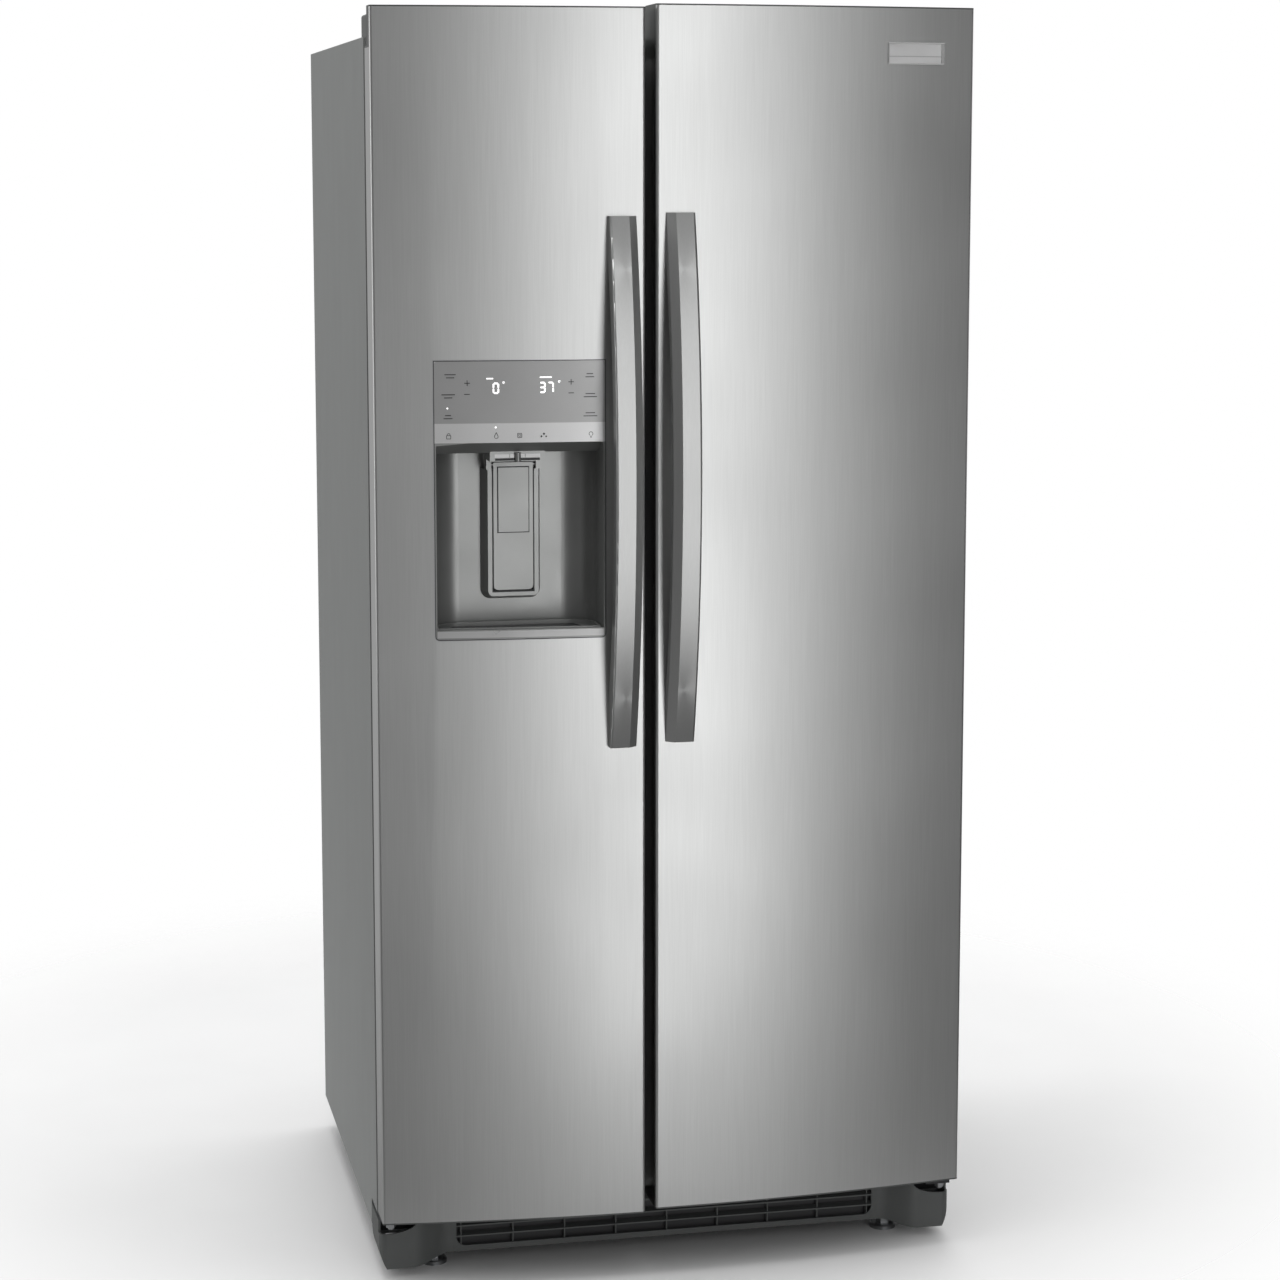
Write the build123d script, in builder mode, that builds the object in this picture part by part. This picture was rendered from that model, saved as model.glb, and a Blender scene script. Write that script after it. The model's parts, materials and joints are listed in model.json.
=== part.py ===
"""Side by side refrigerator: freezer on the left, fresh food on the right, ice and water dispenser.

Millimetres. +Z is up, -Y is the front, +X is to the right of someone facing the doors.
The origin lies on the floor, under the middle of the whole refrigerator.
"""
import math
import os

from build123d import *

# Driving dimensions
WIDTH = 838.0
HALF = WIDTH / 2
HANDLE_REACH = 56.0
DOOR_FRONT = -352.0
ARC_RISE = 29.5
DOOR_BACK = -272.0
CABINET_FRONT = -258.0
CABINET_BACK = 408.0
CABINET_TOP = 1728.0
CABINET_BOTTOM = 52.0
FREEZER_DOOR_X = (-HALF, -51.2)
FRIDGE_DOOR_X = (-36.6, HALF)
FREEZER_DOOR_Z = (93.5, 1767.5)
FRIDGE_DOOR_Z = (98.0, 1772.0)

# Sheet and moulding thicknesses
SHEET = 1.2
SKIN = 1.0
LINER = 3.0
REAR_SHEET = 2.0
FIT = 0.05

# Compartments: (low, high) of each inner space
FREEZER_X = (-374.0, -75.0)
FRIDGE_X = (-14.0, 374.0)
LINER_SPLIT = -44.5
CAVITY_Z = (135.0, 1672.0)
CAVITY_BACK = 350.0
HUMP_Y = 125.0
HUMP_Z = 292.0
FLANGE_X = 397.0
FOAM_BOTTOM = 100.0
MACHINE_Y = 160.0
MACHINE_TOP = 258.0

# Hinge line and door construction
PIN_X = HALF - 16.0
PIN_Y = -286.0
PIN_R = 5.0
LIP_BACK = -294.5
STEP = 55.0
CAP_EDGE = 2.0
TOP_PLUG = 14.0
BOTTOM_PLUG = 20.0
CORNER_R = 4.0
GAP_LIP = 45.0
GASKET_GAP = 0.3
DYKE_BACK = -232.0
DYKE = 14.0

# Dispenser
DISPENSER_X = (-338.5, -107.0)
DISPENSER_Z = (917.0, 1296.0)
DISPENSER_MID = sum(DISPENSER_X) / 2
PANEL_BOTTOM = 1185.5
PANEL_BACK = -322.0
RECESS_BACK = -256.0
RECESS_Z = (922.0, 1170.0)
LIP_TOP = 929.5
BULGE_BACK = -222.0
BULGE_X = (-347.5, -105.2)
BULGE_Z = (908.0, 1307.0)
PADDLE_AXIS = (-281.0, 1150.0)
PADDLE_WIDTH = 55.0
PADDLE_BOTTOM = 976.5
SURROUND_WIDTH = 84.0
SURROUND_Z = (961.0, 1143.5)
SURROUND_TRIM = 1167.0
SURROUND_DEPTH = 27.0
SURROUND_DRAFT = 14.0
FLAP_AXIS = (-291.5, 1168.0)

# Dairy compartment on the fresh food door
DAIRY_Z = (1480.0, 1600.0)
DAIRY_AXIS = (-240.0, 1590.0)

# Handles
HANDLE_WIDTH = 38.5
HANDLE_INSET = 13.5
HANDLE_Z = (670.0, 1396.0)

# Running gear
ROLLER_R = 22.0
ROLLER_WIDTH = 18.0
ROLLER_X = 372.0
FRONT_ROLLER_Y = -170.0
REAR_ROLLER_Y = 350.0
AXLE_R = 4.0
LEG_X = 335.0
LEG_Y = -228.0
LEG_R = 6.0
RAIL_X = 415.5
BASE_Z = (54.0, 98.0)
GRILLE_TOP = 82.0
GRILLE_Y = -264.0
COVER_Y = -284.0
FOOT_X = (314.0, 374.0)
COVER_BOTTOM = 14.0
GRILLE_BOTTOM = 25.0

# Fans
CONDENSER_FAN = (20.0, 280.0, 150.0)
EVAPORATOR_FAN = (-224.5, 296.0, 930.0)

ARC_RADIUS = (HALF**2 + ARC_RISE**2) / (2 * ARC_RISE)
PARTS = "parts"


def save(piece, name):
    """Label one finished piece and write it as its own file."""
    piece.part.label = name
    export_step(piece.part, f"{PARTS}/{name}.step")


def block(x, y, z, mode=Mode.ADD):
    """A box between the (low, high) pairs x, y and z, in the part being built."""
    with Locations(((x[0] + x[1]) / 2, (y[0] + y[1]) / 2, (z[0] + z[1]) / 2)):
        Box(x[1] - x[0], y[1] - y[0], z[1] - z[0], mode=mode)


def rod(start, radius, length, axis="Z", mode=Mode.ADD):
    """A round bar of the part being built, from start along an axis."""
    turns = {"X": (0, 90, 0), "Y": (-90, 0, 0), "Z": (0, 0, 0)}
    with Locations(Location(start, turns[axis])):
        Cylinder(radius, length, align=(Align.CENTER, Align.CENTER, Align.MIN), mode=mode)


def pair(sign, low, high):
    """The (low, high) pair on the right, or its mirror image on the left."""
    return (low, high) if sign > 0 else (-high, -low)


def front_y(x, inset=0.0):
    """The Y of the doors' curved front, or of a face that far behind it."""
    radius = ARC_RADIUS - inset
    return DOOR_FRONT + ARC_RADIUS - math.sqrt(radius**2 - x**2)


def arc_plan(x, inset, back, corner=0.0, back_corner=0.0):
    """The plan of a slab with the doors' curved front: a closed sketch on the floor plane."""
    left, right = x
    middle = (left + right) / 2
    with BuildSketch(Plane.XY) as plan:
        with BuildLine():
            ThreePointArc(
                (left, front_y(left, inset)), (middle, front_y(middle, inset)), (right,
                                                                                 front_y(right, inset))
            )
            Polyline((right, front_y(right, inset)), (right, back), (left, back),
                     (left, front_y(left, inset)))
        make_face()
        if corner:
            fillet(plan.vertices().filter_by(lambda v: v.Y < back - 1), corner)
        if back_corner:
            fillet(plan.vertices().filter_by(lambda v: v.Y > back - 1), back_corner)
    return plan.sketch


def rise(plan, z, mode=Mode.ADD):
    """Extrude a floor-plane sketch between the two heights in z."""
    extrude(Location((0, 0, z[0])) * plan, amount=z[1] - z[0], mode=mode)


def side_profile(points, x, mode=Mode.ADD):
    """Extrude a closed (y, z) outline across the (low, high) pair x."""
    with BuildSketch(Plane.YZ.offset(x[0])) as outline:
        with BuildLine():
            Polyline(*points, close=True)
        make_face()
    extrude(outline.sketch, amount=x[1] - x[0], mode=mode)


# Cabinet ------------------------------------------------------------------------------------

def side_panel(sign, name):
    """Painted steel side with a folded front flange and a folded rear flange."""
    with BuildPart() as panel:
        block(pair(sign, HALF - SHEET, HALF), (CABINET_FRONT, CABINET_BACK - REAR_SHEET),
              (CABINET_BOTTOM, CABINET_TOP))
        folds = (FOAM_BOTTOM, CABINET_TOP - SHEET)
        block(pair(sign, FLANGE_X, HALF), (CABINET_FRONT, CABINET_FRONT + SHEET), folds)
        block(pair(sign, HALF - 14, HALF), (CABINET_BACK - REAR_SHEET - SHEET, CABINET_BACK - REAR_SHEET),
              folds)
        block(pair(sign, FLANGE_X - 1, HALF + 1), (CABINET_FRONT - 1, -198), (0, GRILLE_TOP + 8),
              mode=Mode.SUBTRACT)
    save(panel, name)


def top_panel():
    """Painted steel top with a folded front flange."""
    edge = HALF - SHEET
    with BuildPart() as panel:
        block((-edge, edge), (CABINET_FRONT, CABINET_BACK - REAR_SHEET), (CABINET_TOP - SHEET, CABINET_TOP))
        block((-FLANGE_X, FLANGE_X), (CABINET_FRONT, CABINET_FRONT + SHEET), (1700, CABINET_TOP))
    save(panel, "top_panel")


def rear_panel():
    """Flat steel back with two pressed stiffening channels."""
    with BuildPart() as panel:
        block((-HALF, HALF), (CABINET_BACK - REAR_SHEET, CABINET_BACK), (MACHINE_TOP + 4, CABINET_TOP))
        for x in (-210, 210):
            block((x - 12, x + 12), (CABINET_BACK - 0.8, CABINET_BACK + 1), (420, 1600), mode=Mode.SUBTRACT)
    save(panel, "rear_panel")


def cavity_profile(grow):
    """The (y, z) outline of a compartment, with its step over the machine space."""
    return [
        (CABINET_FRONT, CAVITY_Z[0] - grow),
        (CABINET_FRONT, CAVITY_Z[1] + grow),
        (CAVITY_BACK + grow, CAVITY_Z[1] + grow),
        (CAVITY_BACK + grow, HUMP_Z - grow),
        (HUMP_Y + grow, HUMP_Z - grow),
        (HUMP_Y + grow, CAVITY_Z[0] - grow),
    ]


def compartment(x, flange, ledges, name):
    """Moulded liner of one compartment, with its front flange and the ledges for what it carries."""
    with BuildPart() as liner:
        side_profile(cavity_profile(LINER), (x[0] - LINER, x[1] + LINER))
        block(flange, (CABINET_FRONT, CABINET_FRONT + SHEET), (FOAM_BOTTOM, 1700))
        side_profile(cavity_profile(0), x, mode=Mode.SUBTRACT)
        for z, front, back in ledges:
            block((x[0], x[0] + 9), (front, back), (z - 6, z))
            block((x[1] - 9, x[1]), (front, back), (z - 6, z))
    save(liner, name)


def cabinet_foam():
    """Foamed-in-place insulation that fills the cabinet round both liners."""
    edge = HALF - SHEET
    with BuildPart() as foam:
        block((-edge, edge), (CABINET_FRONT + SHEET, CABINET_BACK - REAR_SHEET - SHEET),
              (FOAM_BOTTOM, CABINET_TOP - SHEET))
        block((-HALF, HALF), (MACHINE_Y, CABINET_BACK), (0, MACHINE_TOP), mode=Mode.SUBTRACT)
        for x in (FREEZER_X, FRIDGE_X):
            side_profile(cavity_profile(LINER), (x[0] - LINER, x[1] + LINER), mode=Mode.SUBTRACT)
    save(foam, "cabinet_foam")


def base_frame():
    """Welded steel base: side rails, front beam, compressor tray, roller brackets and axles."""
    low, high = BASE_Z
    with BuildPart() as base:
        for sign in (-1, 1):
            block(pair(sign, RAIL_X - 3, RAIL_X), (-248, 404), (low, high))
            block(pair(sign, 347, RAIL_X), (-248, 404), (low, low + 3))
            block(pair(sign, LEG_X - 22, 349), (-248, -208), (low, low + 10))
            for y in (FRONT_ROLLER_Y, REAR_ROLLER_Y):
                for ear in (ROLLER_X - 13, ROLLER_X + 10):
                    block(pair(sign, ear, ear + 3), (y - 13, y + 13), (ROLLER_R - 10, low + 1))
                start = pair(sign, ROLLER_X - 14, ROLLER_X + 14)[0]
                rod((start, y, ROLLER_R), AXLE_R, 28, "X")
        block((-RAIL_X, RAIL_X), (-248, -245), (low, high))
        block((-RAIL_X, RAIL_X), (-248, -208), (high - 3, high))
        block((-RAIL_X, RAIL_X), (MACHINE_Y + 2, 404), (low, low + 3))
        for sign in (-1, 1):
            rod((sign * LEG_X, LEG_Y, 0), LEG_R + FIT, high - 10, mode=Mode.SUBTRACT)
    save(base, "base_frame")


def rollers(y, name):
    """The two rollers on one line across the cabinet."""
    with BuildPart() as wheels:
        for sign in (-1, 1):
            start = sign * ROLLER_X - ROLLER_WIDTH / 2
            rod((start, y, ROLLER_R), ROLLER_R, ROLLER_WIDTH, "X")
            rod((start - 1, y, ROLLER_R), AXLE_R + FIT, ROLLER_WIDTH + 2, "X", mode=Mode.SUBTRACT)
        chamfer(wheels.edges().filter_by(GeomType.CIRCLE).filter_by(lambda e: e.radius > ROLLER_R - 1), 1.5)
    save(wheels, name)


def levelling_leg(sign, name):
    """Threaded leg with a broad foot and a hexagon for the spanner."""
    with BuildPart() as leg:
        rod((sign * LEG_X, LEG_Y, 0), 19, 7)
        chamfer(leg.edges().group_by(Axis.Z)[-1], 2)
        with BuildSketch(Plane.XY.offset(7)):
            with Locations((sign * LEG_X, LEG_Y)):
                RegularPolygon(10, 6)
        extrude(amount=8)
        rod((sign * LEG_X, LEG_Y, 15), LEG_R, 70)
    save(leg, name)


def grille_plan(inset):
    """Plan of the toe moulding: a straight middle, with a bulged cover at each front corner."""
    corner = 11 - inset
    side = HALF - inset
    with BuildSketch(Plane.XY) as plan:
        with BuildLine():
            for sign in (-1, 1):
                bend = Spline(
                    (sign * FOOT_X[0], GRILLE_Y + inset), (sign * FOOT_X[1], COVER_Y + inset),
                    tangents=[(sign, 0), (sign, 0)],
                )
                Line(bend @ 1, (sign * (side - corner), COVER_Y + inset))
                ThreePointArc(
                    (sign * (side - corner), COVER_Y + inset),
                    (sign * (side - corner * (1 - math.sqrt(0.5))),
                     COVER_Y + inset + corner * (1 - math.sqrt(0.5))),
                    (sign * side, COVER_Y + inset + corner),
                )
                Line((sign * side, COVER_Y + inset + corner), (sign * side, -200))
            Line((-side, -200), (side, -200))
            Line((-FOOT_X[0], GRILLE_Y + inset), (FOOT_X[0], GRILLE_Y + inset))
        make_face()
    return plan.sketch


def toe_grille():
    """One moulding under the doors: louvred air intake and two foot covers with hinge notches."""
    wall = 3.0
    with BuildPart() as grille:
        rise(grille_plan(0), (COVER_BOTTOM, GRILLE_TOP))
        rise(grille_plan(wall), (0, GRILLE_TOP + 20), mode=Mode.SUBTRACT)
        block((-HALF - 1, HALF + 1), (-201, -190), (0, 100), mode=Mode.SUBTRACT)
        with BuildSketch(Plane.XZ.offset(-GRILLE_Y)) as intake:
            with Locations((0, 56)):
                RectangleRounded(614, 46, 14)
        extrude(intake.sketch, amount=-12, both=True, mode=Mode.SUBTRACT)
        for sign in (-1, 1):
            block(pair(sign, HALF - 14, HALF - 1), (COVER_Y + 10, -201), (COVER_BOTTOM, 50))
            with BuildSketch(Plane.XZ.offset(-COVER_Y)) as notch:
                with Locations((sign * (HALF - 8), GRILLE_TOP)):
                    Ellipse(46, 17)
            extrude(notch.sketch, amount=14, both=True, mode=Mode.SUBTRACT)
        with BuildSketch(Plane.XZ) as silhouette:
            with BuildLine():
                Polyline((HALF, 50), (HALF, GRILLE_TOP), (-HALF, GRILLE_TOP), (-HALF, 50))
                for sign in (-1, 1):
                    ThreePointArc((sign * HALF, 50), (sign * (HALF - 2.6), 31),
                                  (sign * (HALF - 10), COVER_BOTTOM))
                    Line((sign * (HALF - 10), COVER_BOTTOM), (sign * FOOT_X[1], COVER_BOTTOM))
                    Spline((sign * FOOT_X[1], COVER_BOTTOM), (sign * FOOT_X[0], GRILLE_BOTTOM),
                           tangents=[(-sign, 0), (-sign, 0)])
                Line((-FOOT_X[0], GRILLE_BOTTOM), (FOOT_X[0], GRILLE_BOTTOM))
            make_face()
        extrude(silhouette.sketch, amount=400, mode=Mode.INTERSECT)
        for z in (46, 61):
            side_profile([(GRILLE_Y, z), (GRILLE_Y, z + 2), (GRILLE_Y + 9, z + 5), (GRILLE_Y + 9, z + 3)],
                         (-308, 308))
        for step in range(-4, 5):
            block((step * 75 - 0.8, step * 75 + 0.8), (GRILLE_Y + 2, GRILLE_Y + 8), (32, 80))
    save(grille, "toe_grille")


def machine_cover():
    """Rear cover of the machine space, with rows of cooling slots."""
    with BuildPart() as cover:
        block((-HALF + 2, HALF - 2), (CABINET_BACK - REAR_SHEET, CABINET_BACK), (60, MACHINE_TOP))
        with BuildSketch(Plane.XZ.offset(-CABINET_BACK)) as slots:
            with GridLocations(44, 16, 15, 8):
                SlotOverall(34, 6)
        extrude(Location((0, 0, 160)) * slots.sketch, amount=6, both=True, mode=Mode.SUBTRACT)
        rod((300, CABINET_BACK - 6, 92), 8, 12, "Y", mode=Mode.SUBTRACT)
        rod((-330, CABINET_BACK - 6, 92), 11, 12, "Y", mode=Mode.SUBTRACT)
    save(cover, "machine_cover")


def top_hinges():
    """Top hinge brackets, each a plate on the cabinet with an arm and a pin over the door."""
    with BuildPart() as hinges:
        for sign, door in ((-1, FREEZER_DOOR_Z), (1, FRIDGE_DOOR_Z)):
            step = door[1] - STEP
            block(pair(sign, 338, 408), (-255, -194), (CABINET_TOP, CABINET_TOP + 4))
            block(pair(sign, PIN_X - 28, PIN_X - 2), (-290, -240), (CABINET_TOP, CABINET_TOP + 4))
            rod((sign * PIN_X, PIN_Y, CABINET_TOP), 8, 4)
            rod((sign * PIN_X, PIN_Y, step - 12), PIN_R, CABINET_TOP + 6 - step + 12)
    save(hinges, "top_hinges")


def hinge_covers():
    """Moulded covers over the top hinge brackets."""
    with BuildPart() as covers:
        for sign in (-1, 1):
            block(pair(sign, 332, 413), (-250, -184), (CABINET_TOP, CABINET_TOP + 32))
        fillet(covers.edges().filter_by(Axis.Z), 9)
        fillet(covers.edges().group_by(Axis.Z)[-1], 4)
        for sign in (-1, 1):
            block(pair(sign, 334.5, 410.5), (-247.5, -186.5), (CABINET_TOP, CABINET_TOP + 29),
                  mode=Mode.SUBTRACT)
            block(pair(sign, 334.5, 410.5), (-251, -240), (CABINET_TOP, CABINET_TOP + 4.5),
                  mode=Mode.SUBTRACT)
    save(covers, "hinge_covers")


def bottom_hinges():
    """Bottom hinge brackets on the front beam, each with an arm, a collar and a pin."""
    with BuildPart() as hinges:
        for sign, door in ((-1, FREEZER_DOOR_Z), (1, FRIDGE_DOOR_Z)):
            block(pair(sign, 356, 412), (-251, -248), (60, 88))
            block(pair(sign, PIN_X - 24, PIN_X + 12), (PIN_Y - 12, -248), (84, 88))
            rod((sign * PIN_X, PIN_Y, 84), 9, door[0] - 84.3)
            rod((sign * PIN_X, PIN_Y, 84), PIN_R, door[0] + 16 - 84)
    save(hinges, "bottom_hinges")


# Machine space ------------------------------------------------------------------------------

def compressor():
    """Hermetic compressor: welded domed shell on a footed plate, with its terminal box and stubs."""
    x, y = 215, 283
    with BuildPart() as body:
        block((x - 95, x + 95), (y - 55, y + 55), (57, 60))
        rod((x, y, 60), 62, 30)
        rod((x, y, 80), 70, 80)
        fillet(body.edges().group_by(Axis.Z)[-1], 30)
        block((x - 96, x - 60), (y - 24, y + 24), (100, 142))
        rod((x + 62, y, 128), 5, 24, "X")
        rod((x + 20, y + 20, 150), 4, 22)
    save(body, "compressor")


def condenser_coil():
    """Condenser: a folded tube bundle between two end plates, carrying thin fins."""
    with BuildPart() as coil:
        for y in (200, 222, 244, 266, 288, 310):
            for z in (92, 116, 140, 164, 188):
                rod((-212, y, z), 3, 164, "X")
        for y in (200, 244, 288):
            for z in (92, 116, 140, 164, 188):
                for x in (-212, -54):
                    block((x, x + 6), (y, y + 22), (z - 3, z + 3))
        for index in range(11):
            x = -200 + index * 14
            block((x, x + 1.2), (190, 320), (82, 198))
        for x in (-208, -52):
            block((x, x + 2), (186, 324), (57, 204))
    save(coil, "condenser_coil")


def fan_shroud():
    """Condenser fan shroud with its motor, held in the middle by three arms."""
    x, y, z = CONDENSER_FAN
    with BuildPart() as shroud:
        block((x - 6, x + 6), (y - 78, y + 78), (57, z + 78))
        rod((x - 7, y, z), 68, 14, "X", mode=Mode.SUBTRACT)
        rod((x + 10, y, z), 24, 26, "X")
        for angle in (90, 210, 330):
            reach = Vector(0, math.cos(math.radians(angle)), math.sin(math.radians(angle)))
            with BuildSketch(Plane(origin=(x + 14, y, z), z_dir=reach)) as arm:
                Rectangle(8, 8)
            extrude(arm.sketch, amount=72)
        block((x + 2, x + 18), (y - 4, y + 4), (z + 68, z + 76))
        rod((x - 4, y, z), 3, 15, "X")
    save(shroud, "condenser_fan_shroud")


def fan(centre, axis, radius, depth, bore, name):
    """Axial fan: a bored hub with five pitched blades."""
    x, y, z = centre
    turn = {"X": Plane.YZ, "Y": Plane.XZ}[axis]
    base = Plane(origin=centre, x_dir=turn.x_dir, z_dir=turn.z_dir)
    with BuildPart(base) as wheel:
        Cylinder(radius * 0.27, depth)
        for angle in range(0, 360, 72):
            with Locations(Location((0, 0, 0), (0, 0, angle)) * Location((radius * 0.62, 0, 0),
                                                                         (32, 0, 0))):
                Box(radius * 0.74, radius * 0.5, 1.6)
        Cylinder(radius, depth * 1.4, mode=Mode.INTERSECT)
        Cylinder(bore, depth * 2, mode=Mode.SUBTRACT)
    save(wheel, name)


def drain_pan():
    """Shallow pan that catches defrost water above the base."""
    with BuildPart() as pan:
        block((-380, -236), (190, 360), (58, 84))
        fillet(pan.edges().filter_by(Axis.Z), 12)
        block((-377, -239), (193, 357), (60.5, 90), mode=Mode.SUBTRACT)
    save(pan, "drain_pan")


def water_valve():
    """Water inlet valve: a body with two coils and a threaded inlet through the rear cover."""
    x, z = -330, 92
    with BuildPart() as valve:
        block((x - 22, x + 22), (362, 392), (z - 12, z + 14))
        rod((x, 388, z), 10, 18, "Y")
        rod((x, 380, z), 5, 30, "Y", mode=Mode.SUBTRACT)
        for dx in (-11, 11):
            rod((x + dx, 377, z + 10), 9, 32)
    save(valve, "water_valve")


def power_inlet():
    """Strain-relief gland where the supply lead would enter, in the rear cover."""
    with BuildPart() as gland:
        rod((300, CABINET_BACK - 10, 92), 7.9, 10, "Y")
        rod((300, CABINET_BACK - 12, 92), 12, 10, "Y")
        rod((300, CABINET_BACK - 13, 92), 3.5, 16, "Y", mode=Mode.SUBTRACT)
    save(gland, "power_inlet")


# Freezer compartment ------------------------------------------------------------------------

def evaporator_coil():
    """Evaporator: finned tube bundle behind the freezer's rear cover."""
    with BuildPart() as coil:
        for y in (312, 334):
            for index in range(9):
                rod((-350, y, 360 + index * 38), 4, 250, "X")
        for index in range(24):
            x = -345 + index * 10.3
            block((x, x + 1), (303, 343), (346, 680))
        for x in (-352, -102):
            block((x, x + 2), (303, 343), (346, 680))
    save(coil, "evaporator_coil")


def evaporator_cover():
    """Moulded panel across the back of the freezer, with air slots and the fan's mount."""
    x, _, z = EVAPORATOR_FAN
    with BuildPart() as cover:
        block((FREEZER_X[0] + 1, FREEZER_X[1] - 1), (284, 287), (HUMP_Z, CAVITY_Z[1] - 2))
        for height in (1120, 1360, 1560):
            for row in range(3):
                block((x - 70, x + 70), (283, 288), (height + row * 14, height + row * 14 + 6),
                      mode=Mode.SUBTRACT)
        for row in range(4):
            block((x - 100, x + 100), (283, 288), (320 + row * 14, 326 + row * 14), mode=Mode.SUBTRACT)
        rod((x, 280, z), 58, 10, "Y", mode=Mode.SUBTRACT)
        block((x - 62, x + 62), (284, 287), (z - 5, z + 5))
        rod((x, 284, z), 3, 26, "Y")
    save(cover, "evaporator_cover")


def freezer_shelves():
    """Two moulded shelves, each with a raised rear edge, on the liner's ledges."""
    with BuildPart() as shelves:
        for z in (740, 960):
            block((FREEZER_X[0] + 1, FREEZER_X[1] - 1), (-130, 270), (z, z + 5))
            block((FREEZER_X[0] + 10, FREEZER_X[1] - 10), (264, 270), (z, z + 22))
            block((FREEZER_X[0] + 1, FREEZER_X[1] - 1), (-134, -126), (z - 5, z + 9))
    save(shelves, "freezer_shelves")


def ice_maker():
    """Ice maker across the top of the freezer: a moulded tray in its frame, with the drive box."""
    with BuildPart() as maker:
        block((FREEZER_X[0] + 2, FREEZER_X[1] - 30), (-60, 70), (1560, 1610))
        block((FREEZER_X[0] + 50, FREEZER_X[1] - 40), (-50, 60), (1575, 1615), mode=Mode.SUBTRACT)
        block((FREEZER_X[0] + 2, FREEZER_X[0] + 46), (-60, 70), (1556, 1664))
        for index in range(6):
            x = FREEZER_X[0] + 78 + index * 26
            block((x, x + 2), (-50, 60), (1574, 1598))
    save(maker, "ice_maker")


def ice_bin():
    """Ice bucket that pulls forward, with a chute hole low in its front."""
    x = (FREEZER_X[0] + 12, FREEZER_X[1] - 12)
    with BuildPart() as bucket:
        block(x, (-140, 190), (1240, 1500))
        fillet(bucket.edges().filter_by(Axis.Y).group_by(Axis.Z)[0], 40)
        block((x[0] + 4, x[1] - 4), (-128, 186), (1286, 1502), mode=Mode.SUBTRACT)
        block((DISPENSER_MID - 34, DISPENSER_MID + 34), (-128, -40), (1238, 1290), mode=Mode.SUBTRACT)
        block((DISPENSER_MID - 60, DISPENSER_MID + 60), (-141, -134), (1430, 1470), mode=Mode.SUBTRACT)
        rod((DISPENSER_MID, -135, 1330), 5 + FIT, 8, "Y", mode=Mode.SUBTRACT)
        rod((DISPENSER_MID, 180, 1330), 5 + FIT, 12, "Y", mode=Mode.SUBTRACT)
    save(bucket, "ice_bin")


def ice_auger():
    """Auger shaft with paddles that drive the ice forward to the chute."""
    with BuildPart() as auger:
        rod((DISPENSER_MID, -134.5, 1330), 5, 324, "Y")
        for index in range(9):
            y = -110 + index * 32
            with Locations(Location((DISPENSER_MID, y, 1330), (0, index * 40, 0))):
                Box(72, 4, 14)
    save(auger, "ice_auger")


# Sliding drawers and shelves ----------------------------------------------------------------

def drawer(x, y, z, wall, name, vents=False):
    """Open-topped drawer with a deep front panel and a finger lip along its top edge."""
    with BuildPart() as box:
        block(x, (y[0] + 6, y[1]), z)
        fillet(box.edges().filter_by(Axis.Z).group_by(Axis.Y)[-1], 10)
        block((x[0] + wall, x[1] - wall), (y[0] + 12, y[1] - wall), (z[0] + wall, z[1] + 1),
              mode=Mode.SUBTRACT)
        block(x, (y[0] + 4, y[0] + 12), z)
        block((x[0] + 30, x[1] - 30), (y[0] - 6, y[0] + 5), (z[1] - 14, z[1] - 4))
        if vents:
            for side in range(5):
                low = y[0] + 30 + side * (y[1] - y[0] - 60) / 5
                block((x[0] - 1, x[1] + 1), (low, low + 12), (z[0] + 30, z[1] - 30), mode=Mode.SUBTRACT)
    save(box, name)


def fridge_shelves():
    """Three glass shelves in moulded frames on the liner's ledges."""
    left, right = FRIDGE_X[0] + 1, FRIDGE_X[1] - 1
    with BuildPart() as shelves:
        for z in (800, 1060, 1320):
            block((left, right), (-124, 290), (z, z + 14))
            block((left + 14, right - 14), (-110, 276), (z - 1, z + 8), mode=Mode.SUBTRACT)
            block((left + 11, right - 11), (-113, 279), (z + 6, z + 11))
            block((left + 14, right - 14), (-110, 276), (z + 11, z + 15), mode=Mode.SUBTRACT)
    save(shelves, "fridge_shelves")


def crisper_cover():
    """Fixed cover shelf over the crispers."""
    with BuildPart() as cover:
        block((FRIDGE_X[0] + 1, FRIDGE_X[1] - 1), (-118, 300), (580, 590))
        block((FRIDGE_X[0] + 1, FRIDGE_X[1] - 1), (-122, -114), (572, 594))
    save(cover, "crisper_cover")


def water_filter():
    """Cartridge water filter and its head at the top of the fresh food side."""
    with BuildPart() as filter_unit:
        block((290, 368), (60, 200), (1600, 1670))
        rod((329, -60, 1632), 26, 122, "Y")
        fillet(filter_unit.edges().filter_by(GeomType.CIRCLE).group_by(Axis.Y)[0], 8)
        rod((329, -74, 1632), 14, 16, "Y")
    save(filter_unit, "water_filter")


# Doors --------------------------------------------------------------------------------------

def dispenser_opening(mode=Mode.SUBTRACT):
    """The opening that the dispenser fills through the door's front."""
    with BuildSketch(Plane.XZ.offset(-DOOR_FRONT + 5)) as opening:
        with Locations(((DISPENSER_X[0] + DISPENSER_X[1]) / 2, sum(DISPENSER_Z) / 2)):
            RectangleRounded(DISPENSER_X[1] - DISPENSER_X[0], DISPENSER_Z[1] - DISPENSER_Z[0], 5)
    extrude(opening.sketch, amount=-(RECESS_BACK + LINER - DOOR_FRONT + 5), mode=mode)


def chute_profile(grow):
    """The (y, z) outline of the ice chute, grown outwards from its inner face."""
    return [
        (BULGE_BACK, 1214 - grow),
        (BULGE_BACK, 1286 + grow),
        (-286, 1286 + grow),
        (-317 - grow, 1250 + grow),
        (-317 - grow, 1158),
        (-289 + grow, 1158),
        (-289 + grow, 1200 - grow),
    ]


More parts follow.
